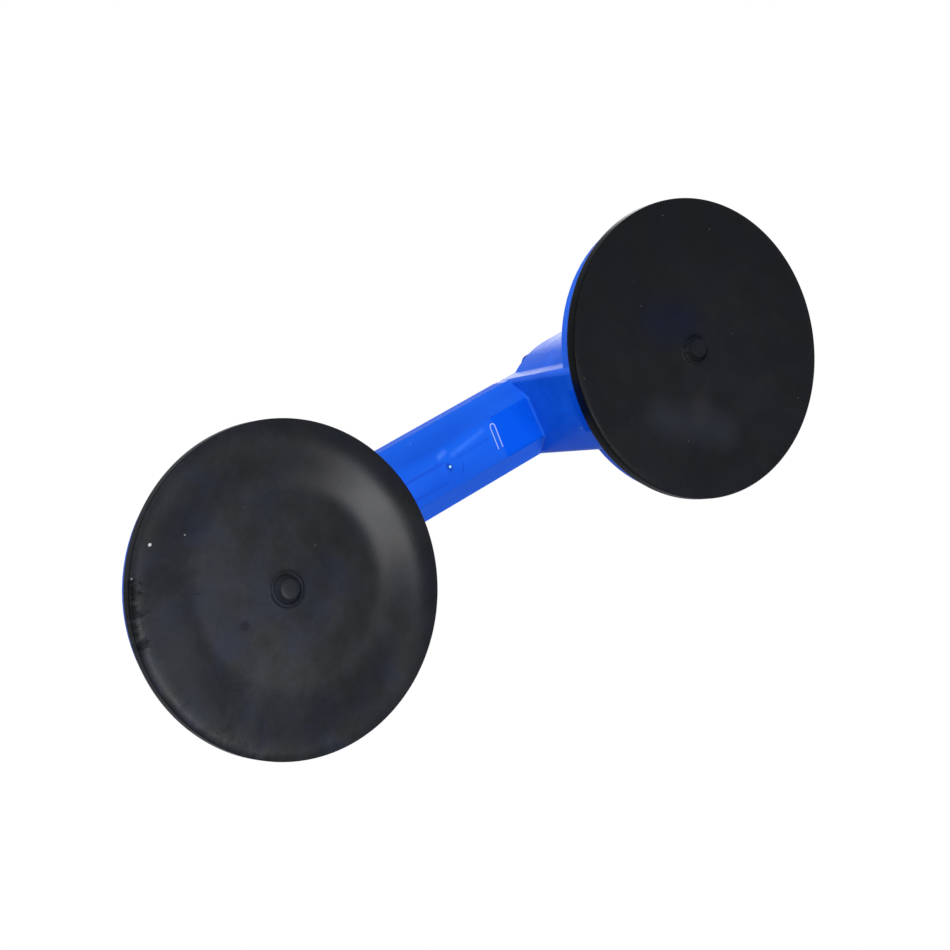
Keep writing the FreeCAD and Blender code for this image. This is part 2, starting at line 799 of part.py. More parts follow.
def make_wear_plate(side):
    """The steel plate on the deck that the cam turns on."""
    body = new_body(f"{side}_wear_plate")
    sketch = sketch_on(body, "WearPlan", "XY_Plane", lift=s.deck_height)
    length, width = s.wear_half_length, s.wear_half_width
    outline(
        sketch,
        [
            (-length, -width, s.wear_corner),
            (length, -width, s.wear_corner),
            (length, width, s.wear_corner),
            (-length, width, s.wear_corner),
        ],
    )
    circle(sketch, 0, 0, bore_radius + s.stud_fit)
    extrude(body, "Pad", "WearPlate", sketch, s.wear_thickness)
    return set_at_head(body, side)


def make_pivot_pin(side):
    """The headed pin through the lever and the stud, grooved for its clip."""
    body = new_body(f"{side}_pivot_pin")
    head_inner = -(s.lever_half_width + s.pin_side_gap)
    groove = s.lever_half_width + s.pin_side_gap
    groove_radius = s.pin_radius - s.clip_groove_depth
    sketch = sketch_on(body, "PinProfile", "YZ_Plane")
    outline(
        sketch,
        [
            (head_inner - s.pin_head_thickness, 0),
            (head_inner - s.pin_head_thickness, s.pin_head_radius - s.pin_side_gap),
            (head_inner - s.pin_head_thickness + s.pin_side_gap, s.pin_head_radius),
            (head_inner, s.pin_head_radius),
            (head_inner, s.pin_radius),
            (groove, s.pin_radius),
            (groove, groove_radius),
            (groove + s.clip_thickness + s.pin_fit, groove_radius),
            (groove + s.clip_thickness + s.pin_fit, s.pin_radius),
            (groove + s.clip_thickness + s.pin_end, s.pin_radius),
            (groove + s.clip_thickness + s.pin_end, 0),
        ],
    )
    revolve(body, "Revolution", "Pin", sketch, "H_Axis")
    return set_at_head(body, side, pin_z)


def make_pin_clip(side):
    """The spring-steel E clip in the pin's groove, open at the bottom."""
    bore = s.pin_radius - s.clip_groove_depth + s.clip_fit
    parts = {}
    for name, radius in (("disc", s.clip_radius), ("bore", bore)):
        part = doc.addObject("Part::Cylinder", f"{side}_clip_{name}")
        part.setExpression("Radius", radius.formula)
        part.setExpression("Height", s.clip_thickness.formula)
        parts[name] = part
    mouth = doc.addObject("Part::Box", f"{side}_clip_mouth")
    mouth.setExpression("Length", s.clip_radius.formula)
    mouth.setExpression("Width", s.clip_mouth.formula)
    mouth.setExpression("Height", s.clip_thickness.formula)
    mouth.setExpression("Placement.Base.y", (-(s.clip_mouth / 2)).formula)
    ring = doc.addObject("Part::Cut", f"{side}_clip_ring")
    ring.Base = parts["disc"]
    ring.Tool = parts["bore"]
    clip = doc.addObject("Part::Cut", f"{side}_pin_clip")
    clip.Base = ring
    clip.Tool = mouth
    doc.recompute()
    sign = 1 if side == "right" else -1
    start = s.lever_half_width + s.pin_side_gap + s.clip_fit
    upright = FreeCAD.Rotation(V(0, 0, 1), V(0, 1, 0))
    mouth_down = FreeCAD.Rotation(V(0, 1, 0), 90)
    turn = FreeCAD.Rotation(V(0, 0, 1), 0 if side == "right" else 180)
    place = V(sign * head_x.number, sign * start.number, pin_z.number)
    clip.Placement = FreeCAD.Placement(place, turn * mouth_down * upright)
    for axis, size in (("x", head_x * sign), ("y", start * sign), ("z", pin_z)):
        clip.setExpression(f"Placement.Base.{axis}", size.formula)
    return clip


def cam_point(angle):
    """Point of the cam, in the folded lever, that meets the plate when the lever is angle from rest.

    The distance from the pin to the plate grows evenly with the angle, so the outline is an involute.
    """
    growth = s.cup_lift.number / math.radians(s.lever_travel.number)
    reach = s.cam_base_radius.number + growth * angle
    left = math.radians(s.lever_travel.number) - angle
    press = V(math.sin(left), 0, -math.cos(left))
    ahead = V(-math.cos(left), 0, -math.sin(left))
    return press * reach + ahead * growth


def polar(radius, degrees):
    """Point of the lever's side at this distance and direction from the pin."""
    return V(radius * math.cos(math.radians(degrees)), 0, radius * math.sin(math.radians(degrees)))


def arc(start, end, bulge):
    """Arc from start to end that swells to the left of the way, seen from the front."""
    way = (end - start).normalize()
    middle = (start + end) / 2 + way.cross(V(0, 1, 0)) * bulge
    return Part.Arc(start, middle, end).toShape()


def lever_profile(low, high):
    """Side face of the folded lever: pin at the origin, arm towards -x, cam below."""
    travel = s.lever_travel.number
    base = s.cam_base_radius.number
    growth = s.cup_lift.number / math.radians(travel)
    spans = round(s.cam_span_count.number)
    involute = [cam_point(math.radians(travel) * i / spans) for i in range(spans + 1)]
    cam = Part.BSplineCurve()
    cam.interpolate(involute)
    flat_start = involute[0] + polar(growth, travel)
    back = polar(base, s.cam_back_angle.number)
    back_middle = polar(base, (s.cam_back_angle.number + travel - 90) / 2)
    nose_radius = s.nose_radius.number
    nose = involute[-1] + V(-nose_radius, 0, nose_radius)
    nose_middle = involute[-1] + V(0, 0, nose_radius) + polar(nose_radius, -135)
    throat = V(nose.x - s.throat_run.number, 0, low)
    shoulder = V(s.arm_root.number, 0, high)
    tip = -s.lever_length.number
    kick = tip + s.tip_length.number
    tip_low = V(tip, 0, low + s.tip_lift.number)
    tip_high = V(tip, 0, high + s.tip_lift.number - s.tip_thinning.number)
    edges = [
        Part.Arc(back, back_middle, flat_start).toShape(),
        Part.LineSegment(flat_start, involute[0]).toShape(),
        cam.toShape(),
        Part.Arc(involute[-1], nose_middle, nose).toShape(),
        Part.LineSegment(nose, throat).toShape(),
        Part.LineSegment(throat, V(kick, 0, low)).toShape(),
        Part.LineSegment(V(kick, 0, low), tip_low).toShape(),
        arc(tip_low, tip_high, s.tip_bulge.number),
        Part.LineSegment(tip_high, V(kick, 0, high)).toShape(),
        Part.LineSegment(V(kick, 0, high), shoulder).toShape(),
        arc(shoulder, back, s.root_bulge.number),
    ]
    return Part.Face(Part.Wire(edges))


def lever_plan(far):
    """Plan of the folded lever: parallel cheeks, then a taper to a round tip."""
    half = s.lever_half_width.number
    tip_half = s.lever_tip_half_width.number
    taper = -s.lever_taper_start.number
    tip = -s.lever_length.number - s.tip_bulge.number + tip_half
    near = [V(far, -half, 0), V(taper, -half, 0), V(tip, -tip_half, 0)]
    back = [V(point.x, -point.y, 0) for point in reversed(near)]
    edges = [Part.LineSegment(near[i], near[i + 1]).toShape() for i in range(2)]
    edges.append(Part.Arc(near[2], V(tip - tip_half, 0, 0), back[0]).toShape())
    edges += [Part.LineSegment(back[i], back[i + 1]).toShape() for i in range(2)]
    edges.append(Part.LineSegment(back[2], near[0]).toShape())
    return Part.Face(Part.Wire(edges))


def make_lever(side):
    """The moulded lever: a forked cam on the pin and a cored arm that folds down over the grip."""
    half = s.lever_half_width.number
    far = s.lever_length.number
    low = (grip_crown + s.arm_clearance - pin_z - s.cup_lift).number
    face = lever_profile(low, low + s.arm_thickness.number)
    face.translate(V(0, -half, 0))
    column = lever_plan(far).extrude(V(0, 0, 2 * far))
    column.translate(V(0, 0, -far))
    body = face.extrude(V(0, 2 * half, 0)).common(column)

    gap = fork_half_gap.number
    reach = math.hypot(s.stud_radius.number, s.stud_top_over_pin.number) + s.fork_gap.number
    body = body.cut(Part.makeBox(far, 2 * gap, far + reach, V(-reach, -gap, -far)))
    bore = Part.makeCylinder((s.pin_radius + s.pin_fit).number, 2 * half, V(0, -half, 0), V(0, 1, 0))
    body = body.cut(bore)

    wall = s.arm_wall.number
    well_length = (s.lever_length - s.tip_solid - s.arm_root_length).number
    well_width = (s.lever_tip_half_width - s.arm_wall * 1.5).number
    for y in (wall / 2, -wall / 2 - well_width):
        corner = V((s.tip_solid - s.lever_length).number, y, low - wall)
        body = body.cut(Part.makeBox(well_length, well_width, s.arm_thickness.number, corner))
    item = doc.addObject("Part::Feature", f"{side}_lever")
    item.Shape = body.removeSplitter()
    sign = 1 if side == "right" else -1
    turn = FreeCAD.Rotation(V(0, 0, 1), 0 if side == "right" else 180)
    raised = FreeCAD.Rotation(V(0, 1, 0), s.lever_travel.number)
    item.Placement = FreeCAD.Placement(V(sign * head_x.number, 0, pin_z.number), turn * raised)
    return item


# ---------------------------------------------------------------- build, test and write

pieces = [make_frame(), make_cover()]
for side in ("left", "right"):
    for make in (
        make_cup,
        make_insert_plate,
        make_stud,
        make_spring_washer,
        make_return_spring,
        make_wear_plate,
        make_pivot_pin,
        make_pin_clip,
        make_lever,
    ):
        pieces.append(make(side))
doc.recompute()

for item in doc.Objects:
    if "Invalid" in item.State or "Error" in item.State:
        raise RuntimeError(f"{item.Label} has failed: {item.State}")
for piece in pieces:
    shape = piece.Shape
    if shape.isNull() or not shape.isValid() or len(shape.Solids) != 1:
        raise RuntimeError(f"{piece.Label} isn't one valid solid")

for piece in pieces:
    piece.Shape.exportStep(f"parts/{piece.Label}.step")
    box = piece.Shape.BoundBox
    print(
        f"{piece.Label:20s} {piece.Shape.Volume / 1000:8.2f} cm3"
        f"  x {box.XMin:7.1f} {box.XMax:7.1f}  y {box.YMin:6.1f} {box.YMax:6.1f}"
        f"  z {box.ZMin:6.1f} {box.ZMax:6.1f}"
    )
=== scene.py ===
import bpy
import bmesh
import math
import numpy as np
from mathutils import Matrix, Vector


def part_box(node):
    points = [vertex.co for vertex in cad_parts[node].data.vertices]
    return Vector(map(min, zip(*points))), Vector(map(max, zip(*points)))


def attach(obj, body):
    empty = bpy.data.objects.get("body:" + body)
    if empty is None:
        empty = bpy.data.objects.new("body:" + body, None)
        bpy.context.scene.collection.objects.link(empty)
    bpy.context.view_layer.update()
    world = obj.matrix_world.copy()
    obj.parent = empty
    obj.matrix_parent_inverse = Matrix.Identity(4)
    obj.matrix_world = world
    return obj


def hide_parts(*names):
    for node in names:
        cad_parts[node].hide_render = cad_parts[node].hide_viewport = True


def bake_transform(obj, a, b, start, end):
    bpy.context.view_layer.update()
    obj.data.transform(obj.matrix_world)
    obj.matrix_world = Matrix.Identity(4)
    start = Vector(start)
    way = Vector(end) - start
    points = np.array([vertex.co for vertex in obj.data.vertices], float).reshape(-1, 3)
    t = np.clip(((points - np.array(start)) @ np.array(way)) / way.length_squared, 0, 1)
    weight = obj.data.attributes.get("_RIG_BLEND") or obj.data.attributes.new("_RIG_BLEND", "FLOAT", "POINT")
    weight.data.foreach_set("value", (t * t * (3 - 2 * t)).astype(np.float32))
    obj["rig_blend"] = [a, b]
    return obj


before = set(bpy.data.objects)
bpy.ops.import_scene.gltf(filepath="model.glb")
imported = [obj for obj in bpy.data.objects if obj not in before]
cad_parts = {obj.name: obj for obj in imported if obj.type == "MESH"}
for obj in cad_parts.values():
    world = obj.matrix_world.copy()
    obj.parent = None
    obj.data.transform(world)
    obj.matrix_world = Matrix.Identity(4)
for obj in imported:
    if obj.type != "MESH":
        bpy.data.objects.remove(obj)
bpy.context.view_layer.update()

mm = 0.001
sides = ("left", "right")
nodeGrid = (190, -170)      # steps between nodes in the editor
print("stage: frame loaded,", len(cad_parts), "nodes")


# small helpers

def headCentre(side):
    low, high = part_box(side + "_cup")
    return Vector(((low.x + high.x) / 2, (low.y + high.y) / 2, low.z))


def addNode(tree, kind, place, **inputs):
    node = tree.nodes.new(kind)
    node.location = (place[0] * nodeGrid[0], place[1] * nodeGrid[1])
    for name, value in inputs.items():
        node.inputs[name.replace("_", " ")].default_value = value
    return node


def mathNode(tree, operation, place, first, second=None, third=None, clamp=False):
    node = addNode(tree, "ShaderNodeMath", place)
    node.operation = operation
    node.use_clamp = clamp
    for index, value in enumerate((first, second, third)):
        if value is None:
            continue
        if isinstance(value, (int, float)):
            node.inputs[index].default_value = value
        else:
            tree.links.new(value, node.inputs[index])
    return node.outputs[0]


def vectorNode(tree, operation, place, first, second=None, output=0):
    node = addNode(tree, "ShaderNodeVectorMath", place)
    node.operation = operation
    tree.links.new(first, node.inputs[0])
    if operation == "SCALE":
        tree.links.new(second, node.inputs[3])
    elif second is not None:
        tree.links.new(second, node.inputs[1])
    return node.outputs[output]


def rampNode(tree, place, value, stops, mode="LINEAR"):
    node = addNode(tree, "ShaderNodeValToRGB", place)
    node.color_ramp.interpolation = mode
    ramp = node.color_ramp.elements
    while len(ramp) < len(stops):
        ramp.new(0.5)
    for element, (spot, colour) in zip(ramp, stops):
        element.position = spot
        element.color = (*colour, 1) if isinstance(colour, tuple) else (colour, colour, colour, 1)
    tree.links.new(value, node.inputs[0])
    return node.outputs[0]


def mixColour(tree, place, factor, first, second):
    node = addNode(tree, "ShaderNodeMix", place)
    node.data_type = "RGBA"
    for socket, value in ((node.inputs[0], factor), (node.inputs[6], first), (node.inputs[7], second)):
        if isinstance(value, (int, float)):
            socket.default_value = value
        elif isinstance(value, tuple):
            socket.default_value = (*value, 1)
        else:
            tree.links.new(value, socket)
    return node.outputs[2]


def newGroup(name, inputs, outputs):
    group = bpy.data.node_groups.new(name, "ShaderNodeTree")
    for label, kind, value in inputs:
        socket = group.interface.new_socket(label, in_out="INPUT", socket_type=kind)
        if value is not None:
            socket.default_value = value
    for label, kind in outputs:
        group.interface.new_socket(label, in_out="OUTPUT", socket_type=kind)
    start = addNode(group, "NodeGroupInput", (-6, 0))
    end = addNode(group, "NodeGroupOutput", (6, 0))
    return group, start, end


def placeGroup(tree, group, place, values):
    node = addNode(tree, "ShaderNodeGroup", place)
    node.node_tree = group
    for label, value in values.items():
        if hasattr(value, "links"):
            tree.links.new(value, node.inputs[label])
        else:
            node.inputs[label].default_value = value
    return node


def newMaterial(name):
    material = bpy.data.materials.new(name)
    material.use_nodes = True
    tree = material.node_tree
    shader = tree.nodes["Principled BSDF"]
    shader.location = (1200, 0)
    tree.nodes["Material Output"].location = (1500, 0)
    return material, tree, shader


# effects that several materials share

handlingShape = {
    "smudgeStops": [(0.38, 0.0), (0.72, 1.0)],
    "speckRadius": 0.16,      # of a speck's own cell
    "grainScale": 1400.0,
}


def makeHandlingMarks():
    # smudges: wide soft patches where hands and dust have dulled a moulded face
    group, start, end = newGroup(
        "handlingMarks",
        [("Place", "NodeSocketVector", None), ("Patch Size", "NodeSocketFloat", 30.0),
         ("Speck Size", "NodeSocketFloat", 900.0), ("Speck Share", "NodeSocketFloat", 0.2)],
        [("Smudge", "NodeSocketFloat"), ("Speck", "NodeSocketFloat"), ("Grain", "NodeSocketFloat")],
    )
    place = start.outputs["Place"]
    wide = addNode(group, "ShaderNodeTexNoise", (-4, 0), Detail=5.0, Roughness=0.62, Distortion=0.6)
    group.links.new(place, wide.inputs["Vector"])
    group.links.new(start.outputs["Patch Size"], wide.inputs["Scale"])
    smudge = rampNode(group, (-3, 0), wide.outputs["Fac"], handlingShape["smudgeStops"], "EASE")
    group.links.new(smudge, end.inputs["Smudge"])

    specks = addNode(group, "ShaderNodeTexVoronoi", (-4, 2), Randomness=1.0)
    specks.feature = "F1"
    group.links.new(place, specks.inputs["Vector"])
    group.links.new(start.outputs["Speck Size"], specks.inputs["Scale"])
    dot = mathNode(group, "LESS_THAN", (-3, 2), specks.outputs["Distance"], handlingShape["speckRadius"])
    shade = addNode(group, "ShaderNodeSeparateColor", (-3, 3))
    group.links.new(specks.outputs["Color"], shade.inputs[0])
    rare = mathNode(group, "LESS_THAN", (-2, 3), shade.outputs[0], start.outputs["Speck Share"])
    group.links.new(mathNode(group, "MULTIPLY", (-1, 2), dot, rare), end.inputs["Speck"])

    fine = addNode(group, "ShaderNodeTexNoise", (-4, 4), Scale=handlingShape["grainScale"], Detail=3.0,
                   Roughness=0.6)
    group.links.new(place, fine.inputs["Vector"])
    group.links.new(fine.outputs["Fac"], end.inputs["Grain"])
    return group


handlingMarks = makeHandlingMarks()


def makeLineMark():
    # a soft-edged stroke from Start to End; a very short one is a dot
    group, start, end = newGroup(
        "lineMark",
        [("Place", "NodeSocketVector", None), ("Start", "NodeSocketVector", None),
         ("End", "NodeSocketVector", None), ("Width", "NodeSocketFloat", 0.0005),
         ("Softness", "NodeSocketFloat", 0.0003)],
        [("Mask", "NodeSocketFloat"), ("Distance", "NodeSocketFloat")],
    )
    away = vectorNode(group, "SUBTRACT", (-5, 0), start.outputs["Place"], start.outputs["Start"])
    run = vectorNode(group, "SUBTRACT", (-5, 1), start.outputs["End"], start.outputs["Start"])
    along = vectorNode(group, "DOT_PRODUCT", (-4, 0), away, run, output=1)
    whole = vectorNode(group, "DOT_PRODUCT", (-4, 1), run, run, output=1)
    share = mathNode(group, "DIVIDE", (-3, 0), along, whole, clamp=True)
    nearest = vectorNode(group, "SCALE", (-3, 1), run, share)
    gap = vectorNode(group, "SUBTRACT", (-2, 0), away, nearest)
    distance = vectorNode(group, "LENGTH", (-2, 1), gap, output=1)
    group.links.new(distance, end.inputs["Distance"])
    past = mathNode(group, "SUBTRACT", (-1, 1), distance, start.outputs["Width"])
    fade = mathNode(group, "DIVIDE", (-1, 0), past, start.outputs["Softness"], clamp=True)
    group.links.new(mathNode(group, "SUBTRACT", (0, 0), 1.0, fade, clamp=True), end.inputs["Mask"])
    return group


lineMark = makeLineMark()


def drawMark(tree, place, spot, mark):
    # a mark's sizes are in mm
    return placeGroup(tree, lineMark, spot, {
        "Place": place, "Start": tuple(c * mm for c in mark["start"]), "End": tuple(c * mm for c in mark["end"]),
        "Width": mark["width"] * mm, "Softness": mark["soft"] * mm})


# blue moulded plastic

plasticLook = {
    "colour": (0.0065, 0.104, 0.66),
    "deepColour": (0.003, 0.078, 0.57),
    "roughness": 0.24,
    "waviness": 0.00006,      # slow sink and flow of the moulding
    "grain": 0.00001,
    "specular": 0.28,
    "gripRough": 0.30,        # hands have dulled the grip
    "gripSpecular": 0.22,
    "gripEnd": 44.8,          # mm from the middle
    "blockStart": 25.6,       # mm; the set-in ends of the grip's underside
    "blockTop": 43.4,
    # painted shade: the set-in ends are drawn darker, as their tilted faces are lit less
    "blockShadeColour": (0.0015, 0.078, 0.62),
    "blockShine": -0.9,       # how much of its shine the set-in end loses
    "patchSize": 26.0,
    "speckSize": 420.0,
    "speckShare": 0.015,
    "speckCover": 0.35,
    "speckColour": (0.45, 0.52, 0.66),
    "smudgeRough": 0.10,
    "flowScale": (12.0, 60.0, 60.0),   # the flow runs along the grip
    "flowStops": (0.35, 0.62),
}


# painted shade and highlights on the grip's underside: mm, colour and how strongly it covers
gripPaintedLight = [
    # dark lines: painted shade along the underside's creases
    {"start": (-38, -3.2, 42), "end": (-1.6, -2.5, 42), "width": 0.10, "soft": 0.8,
     "colour": (0.002, 0.045, 0.46), "share": 0.55},
    {"start": (3, -1.5, 42), "end": (20.5, -2.3, 42), "width": 0.05, "soft": 0.7,
     "colour": (0.002, 0.045, 0.46), "share": 0.40},
    {"start": (-38, 4.0, 42), "end": (-2.8, 5.2, 42), "width": 0.10, "soft": 0.7,
     "colour": (0.002, 0.045, 0.46), "share": 0.45},
    # lighter streaks: painted highlights
    {"start": (3.4, -3.7, 42), "end": (20.3, -6.1, 42), "width": 0.10, "soft": 1.3,
     "colour": (0.10, 0.28, 0.92), "share": 0.22},
    {"start": (-2.2, -5.4, 42), "end": (0.6, -6.2, 42), "width": 0.2, "soft": 1.5,
     "colour": (0.14, 0.33, 0.95), "share": 0.26},
    # the gate pip: a ring of painted shade round it, and a painted glint on it
    {"start": (0, 0, 41.9), "end": (0.1, 0, 41.9), "width": 0.9, "soft": 0.5,
     "colour": (0.001, 0.035, 0.36), "share": 0.85},
    {"start": (0.1, -0.1, 41.7), "end": (0.2, -0.1, 41.7), "width": 0.30, "soft": 0.35,
     "colour": (0.42, 0.82, 1.0), "share": 0.95},
]
rampHighlight = {   # a painted highlight: a thin light loop where the underside steps up to the leg
    "start": (25.3, -5.2, 42.7), "end": (24.8, 3.8, 42.7), "width": 1.15, "soft": 0.5,
    "thickness": 0.26, "colour": (0.72, 0.80, 1.0), "share": 0.75,
}


# paints the grip underside's painted shade and highlights: dark crease lines, light streaks, the pip's shade and
# glint, and the highlight loop at the step
def paintGripLight(tree, place, colour):
    for row, mark in enumerate(gripPaintedLight, 8):
        stroke = drawMark(tree, place, (0, row), mark)
        cover = mathNode(tree, "MULTIPLY", (1, row), stroke.outputs["Mask"], mark["share"])
        colour = mixColour(tree, (2, row), cover, colour, mark["colour"])
    around = drawMark(tree, place, (0, 7), rampHighlight).outputs["Distance"]
    line = mathNode(tree, "SUBTRACT", (-1, 6), around, rampHighlight["width"] * mm)
    line = mathNode(tree, "ABSOLUTE", (0, 6), line)
    line = mathNode(tree, "DIVIDE", (1, 6), line, rampHighlight["thickness"] * mm, clamp=True)
    line = mathNode(tree, "SUBTRACT", (1, 5), 1.0, line)
    split = addNode(tree, "ShaderNodeSeparateXYZ", (-1, 7))
    tree.links.new(place, split.inputs[0])
    openSide = mathNode(tree, "LESS_THAN", (1, 7), split.outputs[1], rampHighlight["end"][1] * mm)
    line = mathNode(tree, "MULTIPLY", (2, 7), line, openSide)
    cover = mathNode(tree, "MULTIPLY", (2, 6), line, rampHighlight["share"])
    return mixColour(tree, (3, 6), cover, colour, rampHighlight["colour"])


def makePlastic(name, look, gripWearAndPaintedLight=False):
    material, tree, shader = newMaterial(name)
    place = addNode(tree, "ShaderNodeTexCoord", (-6, 0)).outputs["Object"]
    marks = placeGroup(tree, handlingMarks, (-4, 1), {
        "Place": place, "Patch Size": look["patchSize"], "Speck Size": look["speckSize"],
        "Speck Share": look["speckShare"]})
    stretch = addNode(tree, "ShaderNodeMapping", (-5, 3))
    stretch.inputs["Scale"].default_value = look["flowScale"]
    tree.links.new(place, stretch.inputs["Vector"])
    flow = addNode(tree, "ShaderNodeTexNoise", (-4, 3), Scale=1.0, Detail=2.0, Roughness=0.45)
    tree.links.new(stretch.outputs[0], flow.inputs["Vector"])
    deepStop, colourStop = look["flowStops"]
    tint = rampNode(tree, (-3, 3), flow.outputs["Fac"],
                    [(deepStop, look["deepColour"]), (colourStop, look["colour"])])
    specks = mathNode(tree, "MULTIPLY", (-2, 2), marks.outputs["Speck"], look["speckCover"])
    dusty = mixColour(tree, (-1, 1), specks, tint, look["speckColour"])
    rough = mathNode(tree, "MULTIPLY_ADD", (-1, 0), marks.outputs["Smudge"], look["smudgeRough"],
                     look["roughness"])
    shader.inputs["Specular IOR Level"].default_value = look["specular"]
    # the grip: duller where hands wear it, with painted shade on its set-in ends and painted shade and
    # highlights on its underside
    if gripWearAndPaintedLight:
        split = addNode(tree, "ShaderNodeSeparateXYZ", (-4, 8))
        tree.links.new(place, split.inputs[0])
        out = mathNode(tree, "ABSOLUTE", (-3, 8), split.outputs[0])
        grip = mathNode(tree, "LESS_THAN", (-2, 8), out, look["gripEnd"] * mm)
        low = mathNode(tree, "LESS_THAN", (-2, 9), split.outputs[2], look["blockTop"] * mm)
        inset = mathNode(tree, "MULTIPLY_ADD", (-2, 10), out, 1 / mm, -look["blockStart"], clamp=True)
        block = mathNode(tree, "MULTIPLY", (-1, 9), mathNode(tree, "MULTIPLY", (-1, 8), grip, low), inset)
        # painted shade: the set-in ends are drawn darker; then the underside's painted shade and highlights are
        # added
        dusty = paintGripLight(tree, place, mixColour(tree, (-1, 7), block, dusty, look["blockShadeColour"]))
        rough = mathNode(tree, "MULTIPLY_ADD", (0, 2), grip, look["gripRough"], rough)
        shine = mathNode(tree, "MULTIPLY_ADD", (0, 3), grip, look["gripSpecular"] - look["specular"],
                         look["specular"])
        inBlock = mathNode(tree, "MULTIPLY_ADD", (0, 4), block, look["blockShine"], 1.0)
        shine = mathNode(tree, "MULTIPLY", (1, 3), shine, inBlock)
        tree.links.new(shine, shader.inputs["Specular IOR Level"])
    tree.links.new(dusty, shader.inputs["Base Color"])
    tree.links.new(rough, shader.inputs["Roughness"])
    shader.inputs["IOR"].default_value = 1.5
    slow = addNode(tree, "ShaderNodeBump", (-1, 4), Strength=1.0, Distance=look["waviness"])
    tree.links.new(flow.outputs["Fac"], slow.inputs["Height"])
    fine = addNode(tree, "ShaderNodeBump", (0, 4), Strength=1.0, Distance=look["grain"])
    tree.links.new(marks.outputs["Grain"], fine.inputs["Height"])
    tree.links.new(slow.outputs[0], fine.inputs["Normal"])
    tree.links.new(fine.outputs[0], shader.inputs["Normal"])
    return material


housingPlastic = makePlastic("housingPlastic", plasticLook, gripWearAndPaintedLight=True)
leverPlastic = makePlastic("leverPlastic", {**plasticLook, "waviness": 0.0001, "roughness": 0.3})


# black rubber

perRim = 1 / (60 * mm)       # turns metres into shares of the rim's radius

rubberLook = {
    "colour": (0.0042, 0.0043, 0.0050),
    "dustColour": (0.030, 0.031, 0.034),
    "blueDust": (0.022, 0.027, 0.042),
    "darkColour": (0.0012, 0.0012, 0.0013),
    "roughness": 0.17,
    "specular": 0.17,
    "grain": 0.00002,
    "patchSize": 30.0,
    "speckSize": 600.0,
    "speckShare": 0.006,
    "speckCover": 0.5,
    "speckColour": (0.1, 0.1, 0.1),
    "cloudScale": 95.0,
    "cloudStops": [(0.38, 0.37), (0.64, 0.66)],
    "smudgeDust": 0.35,
    "blueScale": 48.0,
    "blueStops": (0.46, 0.62),
    "dustBase": 0.85,
    "dustRough": 0.18,
    "dust": {"left": 0.88, "right": 0.26},
    "driftAngle": {"left": 165.0, "right": 82.0},       # degrees; the side with more dust
    "drift": 0.45,
    "rimDust": 0.78,          # how much of the middle's dust the sloping rim keeps
    "rimStops": (0.58, 0.74),
    "feathers": {   # release marks: middle angle, half-width in degrees, and strength
        "left": [(199.0, 14.0, 0.75), (146.0, 26.0, 0.32)],
        "right": [(30.0, 25.0, 0.15)],
    },
    "sideStart": 58.6,        # mm; the rim's side wall is darker than the face
    "sideEdge": 0.4,          # mm over which the darker tone comes in
    "sideCover": 0.8,
    "sideDull": 0.5,
    "dullShine": -0.8,        # how much of its shine a dull place loses
    "spots": {   # mm from the cup's middle: two ends, radius, soft edge, colour and cover
        "left": [((-48.0, 18.0), (-46.0, -16.0), 1.0, 9.0, (0.030, 0.032, 0.040), 0.5),
                 ((-39.0, -37.2), (-38.8, -37.2), 0.35, 0.3, (0.45, 0.46, 0.46), 1.0),
                 ((-25.7, -34.1), (-25.6, -34.1), 0.12, 0.3, (0.20, 0.21, 0.22), 1.0),
                 ((-49.8, -30.2), (-49.7, -30.2), 0.15, 0.3, (0.16, 0.16, 0.15), 1.0),
                 ((-20.4, 3.5), (-19.9, 3.5), 1.0, 1.2, (0.003, 0.003, 0.003), 0.8),
                 ((-30.0, -12.0), (-26.0, 4.0), 3.0, 7.0, (0.012, 0.016, 0.038), 0.28)],
        "right": [((-17.0, -7.0), (-9.0, -9.0), 4.0, 9.0, (0.003, 0.005, 0.018), 0.50),
                  # a painted sheen: the faint lighter crescent across the face
                  ((-12.0, 30.0), (18.0, 29.0), 1.0, 9.0, (0.020, 0.024, 0.031), 0.45),
                  ((6.0, 22.0), (7.0, 23.0), 2.0, 5.0, (0.026, 0.024, 0.026), 0.3)],
    },
}


featherShape = {
    "sectorEdge": 0.4,        # how much of a sector fades out
    "turnScale": 19.0,        # strokes round the cup, and along its radius
    "radiusScale": 130.0,
    "reach": [(0.84, 0.0), (0.97, 0.26)],
    "threshold": 0.63,
    "contrast": 7.0,
}


